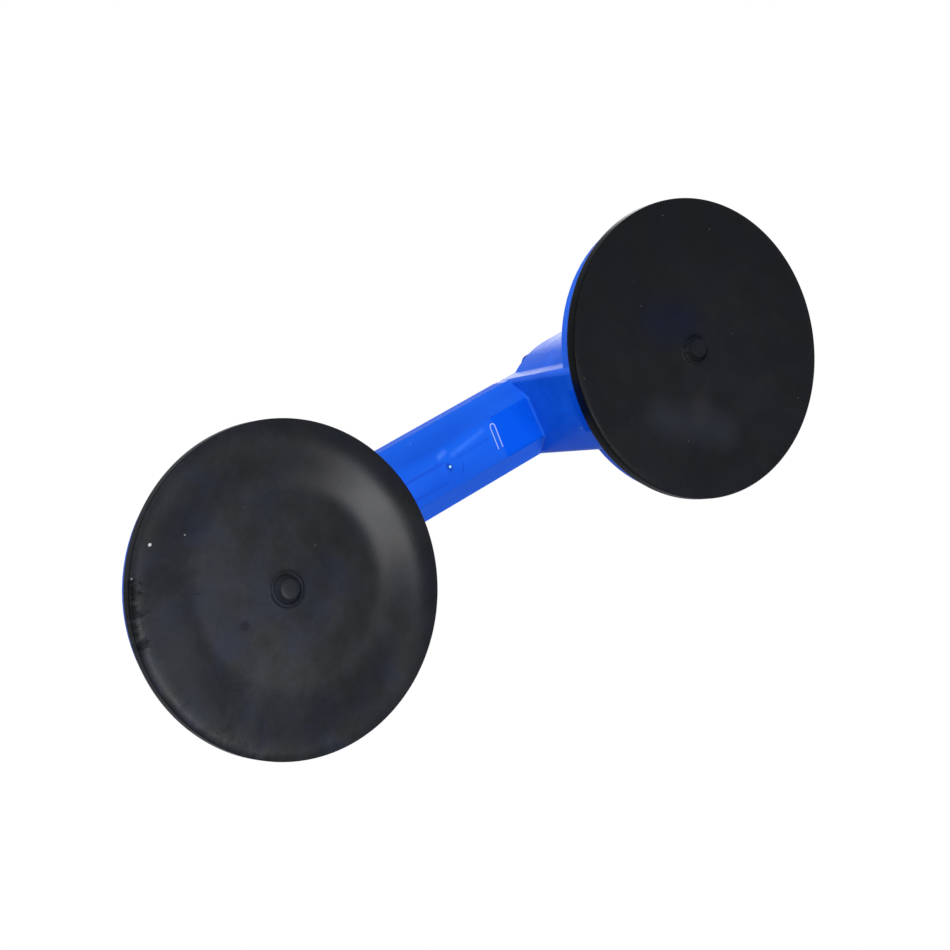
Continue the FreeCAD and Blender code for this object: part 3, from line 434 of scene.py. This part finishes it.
def featherMarks(tree, place, look, side):
    # where the moulding was pulled from the tool: ragged dark strokes that run in from the rim
    split = addNode(tree, "ShaderNodeSeparateXYZ", (-7, 3))
    tree.links.new(place, split.inputs[0])
    radius = vectorNode(tree, "LENGTH", (-5, 3), place, output=1)
    angle = mathNode(tree, "ARCTAN2", (-6, 5), split.outputs[1], split.outputs[0])
    sectors = 0.0
    for middle, spread, strength in look["feathers"][side]:
        turned = mathNode(tree, "SUBTRACT", (-5, 5), angle, math.radians(middle))
        limit = math.cos(math.radians(spread))
        inside = mathNode(tree, "SUBTRACT", (-4, 6), mathNode(tree, "COSINE", (-4, 5), turned), limit)
        sector = mathNode(tree, "DIVIDE", (-3, 5), inside, featherShape["sectorEdge"] * (1 - limit), clamp=True)
        sectors = mathNode(tree, "ADD", (-2, 5), mathNode(tree, "MULTIPLY", (-2, 6), sector, strength), sectors)
    mirrored = mathNode(tree, "MULTIPLY", (-7, 7), split.outputs[0], -1.0)
    unrolled = mathNode(tree, "ARCTAN2", (-6, 7), split.outputs[1], mirrored)   # its seam is on the far side
    polar = addNode(tree, "ShaderNodeCombineXYZ", (-4, 7))
    tree.links.new(mathNode(tree, "MULTIPLY", (-5, 7), unrolled, featherShape["turnScale"]), polar.inputs[0])
    tree.links.new(mathNode(tree, "MULTIPLY", (-5, 8), radius, featherShape["radiusScale"]), polar.inputs[1])
    stroke = addNode(tree, "ShaderNodeTexNoise", (-3, 7), Scale=1.0, Detail=4.0, Roughness=0.65)
    tree.links.new(polar.outputs[0], stroke.inputs["Vector"])
    reach = rampNode(tree, (-3, 8), mathNode(tree, "MULTIPLY", (-4, 8), radius, perRim), featherShape["reach"])
    ragged = mathNode(tree, "ADD", (-2, 8), stroke.outputs["Fac"], reach)
    ragged = mathNode(tree, "SUBTRACT", (-2, 7), ragged, featherShape["threshold"])
    sharp = mathNode(tree, "MULTIPLY", (-1, 7), ragged, featherShape["contrast"], clamp=True)
    return mathNode(tree, "MULTIPLY", (0, 7), sharp, sectors)


def dustAmount(tree, place, shifted, smudge, look, side):
    # clouds and smudges, thicker towards one side and thinner on the sloping rim
    cloud = addNode(tree, "ShaderNodeTexNoise", (-5, 2), Scale=look["cloudScale"], Detail=8.0, Roughness=0.74,
                    Distortion=0.15)
    tree.links.new(shifted, cloud.inputs["Vector"])
    mottle = rampNode(tree, (-3, 2), cloud.outputs["Fac"], look["cloudStops"])
    dusty = mathNode(tree, "MULTIPLY_ADD", (-2, 1), smudge, look["smudgeDust"], mottle)
    lean = addNode(tree, "ShaderNodeCombineXYZ", (-4, 0))
    direction = math.radians(look["driftAngle"][side])
    lean.inputs[0].default_value = math.cos(direction) * look["drift"] * perRim
    lean.inputs[1].default_value = math.sin(direction) * look["drift"] * perRim
    drift = vectorNode(tree, "DOT_PRODUCT", (-3, 0), place, lean.outputs[0], output=1)
    dusty = mathNode(tree, "MULTIPLY", (-1, 2), dusty, mathNode(tree, "ADD", (-2, 0), drift, look["dustBase"]))
    away = mathNode(tree, "MULTIPLY", (-3, -1), vectorNode(tree, "LENGTH", (-4, -1), place, output=1), perRim)
    faceEnd, rimStart = look["rimStops"]
    kept = rampNode(tree, (-2, -1), away, [(faceEnd, 1.0), (rimStart, look["rimDust"])])
    return mathNode(tree, "MULTIPLY", (-1, 0), dusty, kept)


def makeRubber(name, look, side, seed):
    material, tree, shader = newMaterial(name)
    local = addNode(tree, "ShaderNodeAttribute", (-8, 0))
    local.attribute_name = "cupPlace"
    place = local.outputs["Vector"]
    shifted = addNode(tree, "ShaderNodeMapping", (-7, 1))
    shifted.inputs["Location"].default_value = (seed, seed * 0.37, 0)
    tree.links.new(place, shifted.inputs["Vector"])
    marks = placeGroup(tree, handlingMarks, (-5, 1), {
        "Place": shifted.outputs[0], "Patch Size": look["patchSize"], "Speck Size": look["speckSize"],
        "Speck Share": look["speckShare"]})
    dusty = dustAmount(tree, place, shifted.outputs[0], marks.outputs["Smudge"], look, side)
    wide = addNode(tree, "ShaderNodeTexNoise", (-5, 9), Scale=look["blueScale"], Detail=3.0, Roughness=0.6)
    tree.links.new(shifted.outputs[0], wide.inputs["Vector"])
    greyStop, blueStop = look["blueStops"]
    dust = rampNode(tree, (-3, 9), wide.outputs["Fac"],
                    [(greyStop, look["dustColour"]), (blueStop, look["blueDust"])])
    base = mixColour(tree, (0, 1), mathNode(tree, "MULTIPLY", (-1, 1), dusty, look["dust"][side]),
                     look["colour"], dust)
    feathers = featherMarks(tree, place, look, side)
    streaked = mixColour(tree, (1, 1), feathers, base, look["darkColour"])
    specks = mathNode(tree, "MULTIPLY", (1, 3), marks.outputs["Speck"], look["speckCover"])
    specked = mixColour(tree, (2, 1), specks, streaked, look["speckColour"])
    flat = addNode(tree, "ShaderNodeVectorMath", (-1, 10))
    flat.operation = "MULTIPLY"
    tree.links.new(place, flat.inputs[0])
    flat.inputs[1].default_value = (1, 1, 0)
    # the spots are drawn on the face; on the right cup, the second spot is a painted sheen
    for row, (first, last, size, soft, colour, share) in enumerate(look["spots"][side], 10):
        mark = {"start": (*first, 0), "end": (*last, 0), "width": size, "soft": soft}
        spot = drawMark(tree, flat.outputs[0], (0, row), mark).outputs["Mask"]
        specked = mixColour(tree, (3, row), mathNode(tree, "MULTIPLY", (2, row), spot, share), specked, colour)
    away = vectorNode(tree, "LENGTH", (0, 9), flat.outputs[0], output=1)
    wall = mathNode(tree, "MULTIPLY_ADD", (1, 9), away, 1 / (look["sideEdge"] * mm),
                    -look["sideStart"] / look["sideEdge"], clamp=True)
    walled = mixColour(tree, (4, 9), mathNode(tree, "MULTIPLY", (3, 9), wall, look["sideCover"]), specked,
                       look["darkColour"])
    tree.links.new(walled, shader.inputs["Base Color"])
    rough = mathNode(tree, "MULTIPLY_ADD", (0, 4), dusty, look["dustRough"], look["roughness"])
    tree.links.new(rough, shader.inputs["Roughness"])
    dullWall = mathNode(tree, "MULTIPLY", (-1, 6), wall, look["sideDull"])
    dull = mathNode(tree, "MAXIMUM", (-1, 5), feathers, dullWall)
    shine = mathNode(tree, "MULTIPLY_ADD", (0, 5), dull, look["dullShine"] * look["specular"], look["specular"])
    tree.links.new(shine, shader.inputs["Specular IOR Level"])
    bump = addNode(tree, "ShaderNodeBump", (3, 3), Strength=1.0, Distance=look["grain"])
    tree.links.new(marks.outputs["Grain"], bump.inputs["Height"])
    tree.links.new(bump.outputs[0], shader.inputs["Normal"])
    return material


# metals

steelLook = {
    "zinc": {"colour": (0.62, 0.63, 0.65), "roughness": 0.28, "lineScale": 900.0},
    "spring": {"colour": (0.34, 0.35, 0.37), "roughness": 0.35, "lineScale": 1500.0},
    "lengthScale": 90.0,      # the lines run along Z
    "darkShare": 0.72,
    "lineStops": (0.3, 0.65),
    "lineDepth": 0.00001,
    "smudgeRough": 0.18,
    "patchSize": 120.0,
    "speckSize": 1500.0,
    "speckShare": 0.08,
}


def makeSteel(name, kind):
    look = {**steelLook, **steelLook[kind]}
    material, tree, shader = newMaterial(name)
    place = addNode(tree, "ShaderNodeTexCoord", (-6, 0)).outputs["Object"]
    marks = placeGroup(tree, handlingMarks, (-4, 1), {
        "Place": place, "Patch Size": look["patchSize"], "Speck Size": look["speckSize"],
        "Speck Share": look["speckShare"]})
    stretch = addNode(tree, "ShaderNodeMapping", (-5, 3))
    stretch.inputs["Scale"].default_value = (look["lineScale"], look["lineScale"], look["lengthScale"])
    tree.links.new(place, stretch.inputs["Vector"])
    lines = addNode(tree, "ShaderNodeTexNoise", (-4, 3), Scale=1.0, Detail=3.0, Roughness=0.6)
    tree.links.new(stretch.outputs[0], lines.inputs["Vector"])
    dark = tuple(c * look["darkShare"] for c in look["colour"])
    darkStop, brightStop = look["lineStops"]
    tint = rampNode(tree, (-3, 3), lines.outputs["Fac"], [(darkStop, dark), (brightStop, look["colour"])])
    tree.links.new(tint, shader.inputs["Base Color"])
    shader.inputs["Metallic"].default_value = 1.0
    rough = mathNode(tree, "MULTIPLY_ADD", (-2, 1), marks.outputs["Smudge"], look["smudgeRough"],
                     look["roughness"])
    tree.links.new(rough, shader.inputs["Roughness"])
    bump = addNode(tree, "ShaderNodeBump", (-1, 4), Strength=1.0, Distance=look["lineDepth"])
    tree.links.new(lines.outputs["Fac"], bump.inputs["Height"])
    tree.links.new(bump.outputs[0], shader.inputs["Normal"])
    return material


zincSteel = makeSteel("zincSteel", "zinc")
springSteel = makeSteel("springSteel", "spring")
print("stage: materials made")


# turned pieces: a profile swept round an axis by Geometry Nodes

def makeTurningTree():
    tree = bpy.data.node_groups.new("turnedProfile", "GeometryNodeTree")
    tree.interface.new_socket("Geometry", in_out="INPUT", socket_type="NodeSocketGeometry")
    tree.interface.new_socket("Sides", in_out="INPUT", socket_type="NodeSocketInt").default_value = 128
    tree.interface.new_socket("Neck", in_out="INPUT", socket_type="NodeSocketFloat").default_value = 0.0001
    tree.interface.new_socket("Finish", in_out="INPUT", socket_type="NodeSocketMaterial")
    tree.interface.new_socket("Geometry", in_out="OUTPUT", socket_type="NodeSocketGeometry")
    start = addNode(tree, "NodeGroupInput", (-4, 0))
    end = addNode(tree, "NodeGroupOutput", (4, 0))
    profile = addNode(tree, "GeometryNodeMeshToCurve", (-3, 0))
    tree.links.new(start.outputs["Geometry"], profile.inputs["Mesh"])
    ring = addNode(tree, "GeometryNodeCurvePrimitiveCircle", (-3, 2))
    tree.links.new(start.outputs["Sides"], ring.inputs["Resolution"])
    tree.links.new(start.outputs["Neck"], ring.inputs["Radius"])
    sweep = addNode(tree, "GeometryNodeCurveToMesh", (-2, 0))
    tree.links.new(ring.outputs["Curve"], sweep.inputs["Curve"])
    tree.links.new(profile.outputs["Curve"], sweep.inputs["Profile Curve"])
    closed = addNode(tree, "GeometryNodeMergeByDistance", (-1, 0))
    closed.inputs["Distance"].default_value = 0.00001
    tree.links.new(sweep.outputs["Mesh"], closed.inputs["Geometry"])
    smooth = addNode(tree, "GeometryNodeSetShadeSmooth", (0, 0))
    tree.links.new(closed.outputs["Geometry"], smooth.inputs["Geometry"])
    real = addNode(tree, "GeometryNodeRealizeInstances", (1, 0))
    tree.links.new(smooth.outputs["Geometry"], real.inputs["Geometry"])
    finish = addNode(tree, "GeometryNodeSetMaterial", (2, 0))
    tree.links.new(real.outputs["Geometry"], finish.inputs["Geometry"])
    tree.links.new(start.outputs["Finish"], finish.inputs["Material"])
    tree.links.new(finish.outputs["Geometry"], end.inputs["Geometry"])
    return tree


turningTree = makeTurningTree()


def bakeNodes(piece, tree, values):
    # runs the tree on the piece and leaves a plain mesh
    modifier = piece.modifiers.new(tree.name, "NODES")
    modifier.node_group = tree
    for item in tree.interface.items_tree:
        if item.item_type == "SOCKET" and item.in_out == "INPUT" and item.name in values:
            modifier[item.identifier] = values[item.name]
    bpy.context.view_layer.update()
    graph = bpy.context.evaluated_depsgraph_get()
    baked = bpy.data.meshes.new_from_object(piece.evaluated_get(graph))
    piece.modifiers.remove(modifier)
    piece.data = baked
    return piece


def newPiece(name, points, edges, faces=()):
    mesh = bpy.data.meshes.new(name)
    mesh.from_pydata(points, edges, faces)
    piece = bpy.data.objects.new(name, mesh)
    bpy.context.scene.collection.objects.link(piece)
    return piece


def faceOutwards(mesh):
    shape = bmesh.new()
    shape.from_mesh(mesh)
    bmesh.ops.remove_doubles(shape, verts=shape.verts, dist=0.000005)
    bmesh.ops.recalc_face_normals(shape, faces=shape.faces)
    shape.to_mesh(mesh)
    shape.free()


# rubber cups

cupShape = {
    "rimThickness": 5.5,      # all in mm
    "recess": 2.5,            # depth of the middle of the face
    "flatRadius": 33.0,
    "slopeEnd": 55.5,
    "lipRound": 1.0,
    "nubTip": 3.7,
    "nubBase": 4.9,
    "nubHeight": 2.3,
    "nubRound": 0.45,
    "ringRadius": 5.7,        # a fine raised ring round the nub's groove
    "ringHeight": 0.3,
    "grooveDepth": 0.35,
    "shelf": 10.8,            # in from the rim: where its flat top ends and the membrane starts
    "membraneStart": 14.8,
    "membrane": 4.0,
    "bossRadius": 26.0,
    "bossTop": 9.3,
    "studHole": 6.1,
    "plateRadius": 22.1,
    "plateTop": 7.6,
    "plateBottom": 4.4,
    "segments": 192,
    "neck": 0.1,              # radius of the ring that the profile is swept on
}


def roundedCorner(centre, radius, startAngle, endAngle, steps):
    return [(centre[0] + radius * math.cos(math.radians(a)), centre[1] + radius * math.sin(math.radians(a)))
            for a in np.linspace(startAngle, endAngle, steps)]


def cupProfile(shape, cupRadius):
    # from the nub's tip outwards over the face, round the rim and back over the top
    tipZ = shape["recess"] - shape["nubHeight"]
    tipRound = shape["nubRound"]
    line = [(0.0, tipZ), (shape["nubTip"] * 0.5, tipZ)]
    line += roundedCorner((shape["nubTip"] - tipRound, tipZ + tipRound), tipRound, -90, -15, 5)
    floor = shape["recess"] + shape["grooveDepth"]
    line += [(shape["nubBase"], floor - 0.3), (shape["nubBase"] + 0.3, floor)]
    ring, height = shape["ringRadius"], shape["ringHeight"]
    for angle in np.linspace(-90, 180, 10):
        line.append((ring + height * math.sin(math.radians(angle)) * 1.2,
                     shape["recess"] - height * (1 + math.cos(math.radians(angle))) / 2))
    line += [(x, shape["recess"]) for x in np.linspace(ring + 1.6, shape["flatRadius"], 8)]
    for share in np.linspace(0.04, 1, 22):
        ease = share * share * (3 - 2 * share)
        line.append((shape["flatRadius"] + (shape["slopeEnd"] - shape["flatRadius"]) * share,
                     shape["recess"] * (1 - ease)))
    line += roundedCorner((cupRadius - shape["lipRound"], shape["lipRound"]), shape["lipRound"], -80, 0, 6)
    top = shape["rimThickness"]
    line += [(cupRadius, 2.2), (cupRadius, 3.6)]
    line += roundedCorner((cupRadius - 0.5, top - 0.5), 0.5, 0, 90, 5)
    line += [(cupRadius - 4, top), (cupRadius - shape["shelf"], top)]
    membraneTop = shape["recess"] + shape["membrane"]
    line += [(cupRadius - shape["membraneStart"], membraneTop), (shape["bossRadius"] + 2, membraneTop)]
    line += [(shape["bossRadius"], shape["bossTop"]), (shape["studHole"], shape["bossTop"])]
    line += [(shape["studHole"], shape["plateTop"]), (shape["plateRadius"], shape["plateTop"])]
    line += [(shape["plateRadius"], shape["plateBottom"]), (0.0, shape["plateBottom"])]
    return line


def makeCup(side, finish):
    low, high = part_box(side + "_cup")
    centre = headCentre(side)
    line = cupProfile(cupShape, (high.x - low.x) / 2 / mm)
    neck = cupShape["neck"] * mm
    points = [((x * mm - neck), -z * mm, 0.0) for x, z in line]
    piece = newPiece(side + "Cup", points, [(i, i + 1) for i in range(len(points) - 1)])
    bakeNodes(piece, turningTree, {"Sides": cupShape["segments"], "Neck": neck, "Finish": finish})
    return piece, centre


print("stage: trees made")

cupFinish = {
    "turn": {"left": 0.0, "right": 37.0},     # degrees; each cup was pressed on at its own angle
    "seed": {"left": 0.13, "right": 0.71},    # metres along the mark pattern
    "stiffRadius": 26.0,                      # mm; inside it the cup rises with the stud
    "hingeRadius": 50.0,                      # mm; outside it the rim stays down
}


def readVectors(mesh, name):
    values = np.zeros(len(mesh.vertices) * 3, np.float32)
    mesh.attributes[name].data.foreach_get("vector", values)
    return values.reshape(-1, 3)


def finishCup(side):
    piece, centre = makeCup(side, makeRubber(side + "CupRubber", rubberLook, side, cupFinish["seed"][side]))
    mesh = piece.data
    local = mesh.attributes.new("cupPlace", "FLOAT_VECTOR", "POINT")
    local.data.foreach_set("vector", np.array([v.co for v in mesh.vertices], np.float32).ravel())
    turn = Matrix.Rotation(math.radians(cupFinish["turn"][side]), 4, "Z")
    mesh.transform(Matrix.Translation(centre) @ turn)
    faceOutwards(mesh)
    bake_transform(piece, "frame", side + "_stud", start=centre, end=centre + Vector((0, 0, 0.01)))
    place = readVectors(mesh, "cupPlace")
    inner, outer = cupFinish["stiffRadius"] * mm, cupFinish["hingeRadius"] * mm
    share = np.clip((outer - np.hypot(place[:, 0], place[:, 1])) / (outer - inner), 0, 1)
    lift = mesh.attributes["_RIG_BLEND"]       # the middle rises with the stud, the rim stays
    lift.data.foreach_set("value", (share * share * (3 - 2 * share)).astype(np.float32))
    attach(piece, "frame")
    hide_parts(side + "_cup")
    return piece


for side in sides:
    finishCup(side)
print("stage: cups made")


# moulded pieces: the CAD solid, merged and smoothed

mouldedPieces = {
    "housing": ("frame", "frame", housingPlastic, "housing_plastic"),
    "gripCover": ("grip_cover", "frame", housingPlastic, "housing_plastic"),
    "leftLever": ("left_lever", "left_lever", leverPlastic, "lever_plastic"),
    "rightLever": ("right_lever", "right_lever", leverPlastic, "lever_plastic"),
}
moulding = {
    "smoothAngle": 32.0,      # degrees; sharper edges stay sharp
    "dishRadius": 7.2,        # mm; the shallow dish round the gate mark is shaded softly
    "dishTop": 43.0,
}


def smoothCopy(name, node):
    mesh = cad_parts[node].data.copy()
    mesh.name = name
    piece = bpy.data.objects.new(name, mesh)
    bpy.context.scene.collection.objects.link(piece)
    shape = bmesh.new()
    shape.from_mesh(mesh)
    bmesh.ops.remove_doubles(shape, verts=shape.verts, dist=0.000002)
    for face in shape.faces:
        face.smooth = True
    for edge in shape.edges:
        inDish = all(v.co.z < moulding["dishTop"] * mm and v.co.xy.length < moulding["dishRadius"] * mm
                     for v in edge.verts)
        edge.smooth = len(edge.link_faces) == 2 and (
            inDish or edge.calc_face_angle(0) < math.radians(moulding["smoothAngle"]))
    shape.to_mesh(mesh)
    shape.free()
    even = piece.modifiers.new("evenShading", "WEIGHTED_NORMAL")
    even.mode = "FACE_AREA_WITH_ANGLE"
    even.keep_sharp = True
    graph = bpy.context.evaluated_depsgraph_get()
    piece.data = bpy.data.meshes.new_from_object(piece.evaluated_get(graph))
    piece.modifiers.clear()
    return piece


for name, (node, body, finish, slotName) in mouldedPieces.items():
    piece = smoothCopy(name, node)
    piece.data.materials.clear()
    piece.data.materials.append(finish)
    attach(piece, body)
    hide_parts(node)
print("stage: moulded pieces made")


# return springs: a coil by Geometry Nodes that shortens with the stud

springShape = {"turns": 4.0, "wire": 0.8, "pointsPerTurn": 28, "wireSides": 10}      # the wire's radius is in mm


def makeCoilTree():
    tree = bpy.data.node_groups.new("coilSpring", "GeometryNodeTree")
    tree.interface.new_socket("Geometry", in_out="INPUT", socket_type="NodeSocketGeometry")
    for label, kind in (("Points", "NodeSocketInt"), ("Turns", "NodeSocketFloat"), ("Radius", "NodeSocketFloat"),
                        ("Height", "NodeSocketFloat"), ("Wire", "NodeSocketFloat"),
                        ("Wire Sides", "NodeSocketInt"), ("Place", "NodeSocketVector"),
                        ("Finish", "NodeSocketMaterial")):
        tree.interface.new_socket(label, in_out="INPUT", socket_type=kind)
    tree.interface.new_socket("Geometry", in_out="OUTPUT", socket_type="NodeSocketGeometry")
    start = addNode(tree, "NodeGroupInput", (-4, 0))
    end = addNode(tree, "NodeGroupOutput", (4, 0))
    coil = addNode(tree, "GeometryNodeCurveSpiral", (-3, 0))
    for label, target in (("Points", "Resolution"), ("Turns", "Rotations"), ("Radius", "Start Radius"),
                          ("Radius", "End Radius"), ("Height", "Height")):
        tree.links.new(start.outputs[label], coil.inputs[target])
    section = addNode(tree, "GeometryNodeCurvePrimitiveCircle", (-3, 2))
    tree.links.new(start.outputs["Wire Sides"], section.inputs["Resolution"])
    tree.links.new(start.outputs["Wire"], section.inputs["Radius"])
    sweep = addNode(tree, "GeometryNodeCurveToMesh", (-2, 0))
    tree.links.new(coil.outputs["Curve"], sweep.inputs["Curve"])
    tree.links.new(section.outputs["Curve"], sweep.inputs["Profile Curve"])
    sweep.inputs["Fill Caps"].default_value = True
    move = addNode(tree, "GeometryNodeTransform", (-1, 0))
    tree.links.new(sweep.outputs["Mesh"], move.inputs["Geometry"])
    tree.links.new(start.outputs["Place"], move.inputs["Translation"])
    smooth = addNode(tree, "GeometryNodeSetShadeSmooth", (0, 0))
    tree.links.new(move.outputs["Geometry"], smooth.inputs["Geometry"])
    real = addNode(tree, "GeometryNodeRealizeInstances", (1, 0))
    tree.links.new(smooth.outputs["Geometry"], real.inputs["Geometry"])
    finish = addNode(tree, "GeometryNodeSetMaterial", (2, 0))
    tree.links.new(real.outputs["Geometry"], finish.inputs["Geometry"])
    tree.links.new(start.outputs["Finish"], finish.inputs["Material"])
    tree.links.new(finish.outputs["Geometry"], end.inputs["Geometry"])
    return tree


coilTree = makeCoilTree()


def makeSpring(side):
    low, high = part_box(side + "_return_spring")
    wireRadius = springShape["wire"] * mm
    height = high.z - low.z - 2 * wireRadius
    centre = Vector(((low.x + high.x) / 2, (low.y + high.y) / 2, low.z + wireRadius))
    piece = newPiece(side + "ReturnSpring", [(0, 0, 0)], [])
    bakeNodes(piece, coilTree, {
        "Points": int(springShape["turns"] * springShape["pointsPerTurn"]),
        "Turns": springShape["turns"], "Radius": (high.x - low.x) / 2 - wireRadius, "Height": height,
        "Wire": wireRadius, "Wire Sides": springShape["wireSides"], "Place": tuple(centre),
        "Finish": springSteel})
    faceOutwards(piece.data)
    top, foot = centre + Vector((0, 0, height)), centre
    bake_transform(piece, "frame", side + "_stud", start=top, end=foot)
    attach(piece, "frame")
    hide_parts(side + "_return_spring")


for side in sides:
    makeSpring(side)
print("stage: springs made")


# steel pieces keep their CAD mesh

steelNodes = {"stud": zincSteel, "insert_plate": zincSteel, "spring_washer": zincSteel,
              "wear_plate": zincSteel, "pivot_pin": zincSteel, "pin_clip": springSteel}
for side in sides:
    for name, finish in steelNodes.items():
        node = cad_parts[f"{side}_{name}"]
        node.data.materials.clear()
        node.data.materials.append(finish)


# floor, light and camera

stage = {
    "floorSize": 6.0,
    "floorFade": (0.45, 1.6),  # metres from the middle; beyond it the floor gives way to the white room
    "floorGlow": 0.45,        # how far the floor's own colour is lifted towards white
    "floorColour": (0.86, 0.86, 0.87),
    "fillColour": (0.82, 0.88, 1.0),
    "fillStrength": 0.34,
    "mirroredShare": 0.07,    # how much of the white surroundings the glossy faces show
}
lamps = {   # place, what it points at, size, power, and whether glossy faces show it
    "keyLamp": {"place": (-0.6, -1.5, 1.6), "aim": (0, 0, 0.03), "size": 1.3, "power": 15.0, "shows": False},
    "topLamp": {"place": (1.0, -0.3, 1.35), "aim": (0, 0, 0.03), "size": 0.7, "power": 1.7, "shows": True},
    "backLamp": {"place": (0.9, 1.4, 1.2), "aim": (0, 0, 0.03), "size": 1.3, "power": 14.0, "shows": False},
    "underLamp": {"place": (-0.4, -1.3, -1.0), "aim": (0, 0, 0.0), "size": 1.2, "power": 27.5, "shows": False},
    "rimLamp": {"place": (-1.25, -0.4, -0.95), "aim": (0, 0, 0.0), "size": 0.6, "power": 4.0, "shows": True},
    "lowLamp": {"place": (0.1, 1.3, -1.0), "aim": (0, 0, 0.0), "size": 1.2, "power": 18.0, "shows": False},
    "sheenLamp": {"place": (0.18, 0.36, -1.45), "aim": (0, 0, 0.0), "size": 0.24, "power": 2.7, "shows": True},
}
camera = {   # metres in the row frame; the view looks up at the cups from below and to the left
    "place": (-0.3845, -0.1467, -0.6425),
    "forward": (0.489, 0.192, 0.851),
    "up": (0.442, -0.895, -0.052),
    "lens": 78.84,
    "sensor": 36.0,
}


def makeFloor():
    half = stage["floorSize"] / 2
    floor = newPiece("paleFloor", [(-half, -half, 0), (half, -half, 0), (half, half, 0), (-half, half, 0)],
                     [], [(0, 1, 2, 3)])
    material, tree, shader = newMaterial("paleFloor")
    tree.nodes.remove(shader)
    matt = addNode(tree, "ShaderNodeBsdfDiffuse", (0, 0))
    matt.inputs["Color"].default_value = (*stage["floorColour"], 1)
    clear = addNode(tree, "ShaderNodeBsdfTransparent", (0, 1))
    path = addNode(tree, "ShaderNodeLightPath", (-3, 0))
    side = addNode(tree, "ShaderNodeNewGeometry", (-3, 1))
    above = mathNode(tree, "SUBTRACT", (-2, 1), 1.0, side.outputs["Backfacing"])
    seen = mathNode(tree, "MULTIPLY", (-1, 0), path.outputs["Is Camera Ray"], above)
    place = addNode(tree, "ShaderNodeTexCoord", (-4, 2))
    away = vectorNode(tree, "LENGTH", (-3, 2), place.outputs["Object"], output=1)
    fade = addNode(tree, "ShaderNodeMapRange", (-2, 2))
    fade.interpolation_type = "SMOOTHSTEP"
    tree.links.new(away, fade.inputs["Value"])
    fade.inputs["From Min"].default_value, fade.inputs["From Max"].default_value = stage["floorFade"]
    fade.inputs["To Min"].default_value, fade.inputs["To Max"].default_value = 1.0, 0.0
    seen = mathNode(tree, "MULTIPLY", (0, 1), seen, fade.outputs["Result"])
    glow = addNode(tree, "ShaderNodeEmission", (0, 2), Strength=1.0)
    pale = addNode(tree, "ShaderNodeMixShader", (1, 0))
    pale.inputs[0].default_value = stage["floorGlow"]
    tree.links.new(matt.outputs[0], pale.inputs[1])
    tree.links.new(glow.outputs[0], pale.inputs[2])
    blend = addNode(tree, "ShaderNodeMixShader", (2, 0))
    tree.links.new(seen, blend.inputs[0])
    tree.links.new(clear.outputs[0], blend.inputs[1])
    tree.links.new(pale.outputs[0], blend.inputs[2])
    tree.links.new(blend.outputs[0], tree.nodes["Material Output"].inputs[0])
    floor.data.materials.append(material)


def makeWorld():
    world = bpy.data.worlds.new("paleRoom")
    bpy.context.scene.world = world
    world.use_nodes = True
    tree = world.node_tree
    tree.nodes.clear()
    path = addNode(tree, "ShaderNodeLightPath", (-4, 0))
    mirrored = mathNode(tree, "MULTIPLY", (-4, 1), path.outputs["Is Glossy Ray"], stage["mirroredShare"])
    seen = mathNode(tree, "MAXIMUM", (-3, 0), path.outputs["Is Camera Ray"], mirrored)
    seen = mathNode(tree, "MAXIMUM", (-2, 0), seen, path.outputs["Is Transmission Ray"])
    white = addNode(tree, "ShaderNodeBackground", (-1, 0), Strength=1.0)
    white.inputs["Color"].default_value = (1, 1, 1, 1)
    fill = addNode(tree, "ShaderNodeBackground", (-1, 1), Strength=stage["fillStrength"])
    fill.inputs["Color"].default_value = (*stage["fillColour"], 1)
    blend = addNode(tree, "ShaderNodeMixShader", (1, 0))
    tree.links.new(seen, blend.inputs[0])
    tree.links.new(fill.outputs[0], blend.inputs[1])
    tree.links.new(white.outputs[0], blend.inputs[2])
    output = addNode(tree, "ShaderNodeOutputWorld", (2, 0))
    tree.links.new(blend.outputs[0], output.inputs[0])


def makeLamp(name, values):
    lamp = bpy.data.lights.new(name, "AREA")
    lamp.shape = "DISK"
    lamp.size = values["size"]
    lamp.energy = values["power"]
    piece = bpy.data.objects.new(name, lamp)
    bpy.context.scene.collection.objects.link(piece)
    place = Vector(values["place"])
    piece.visible_glossy = values["shows"]
    piece.location = place
    piece.rotation_euler = (Vector(values["aim"]) - place).to_track_quat("-Z", "Y").to_euler()


def makeCamera():
    data = bpy.data.cameras.new("viewCamera")
    data.lens = camera["lens"]
    data.sensor_width = camera["sensor"]
    piece = bpy.data.objects.new("viewCamera", data)
    bpy.context.scene.collection.objects.link(piece)
    back = -Vector(camera["forward"]).normalized()
    right = Vector(camera["up"]).cross(back).normalized()
    up = back.cross(right)
    axes = Matrix((right, up, back)).transposed().to_4x4()
    piece.matrix_world = Matrix.Translation(camera["place"]) @ axes
    bpy.context.scene.camera = piece


makeFloor()
makeWorld()
for name, values in lamps.items():
    makeLamp(name, values)
makeCamera()
bpy.context.scene.view_settings.view_transform = "Standard"
print("stage: floor, light and camera set")
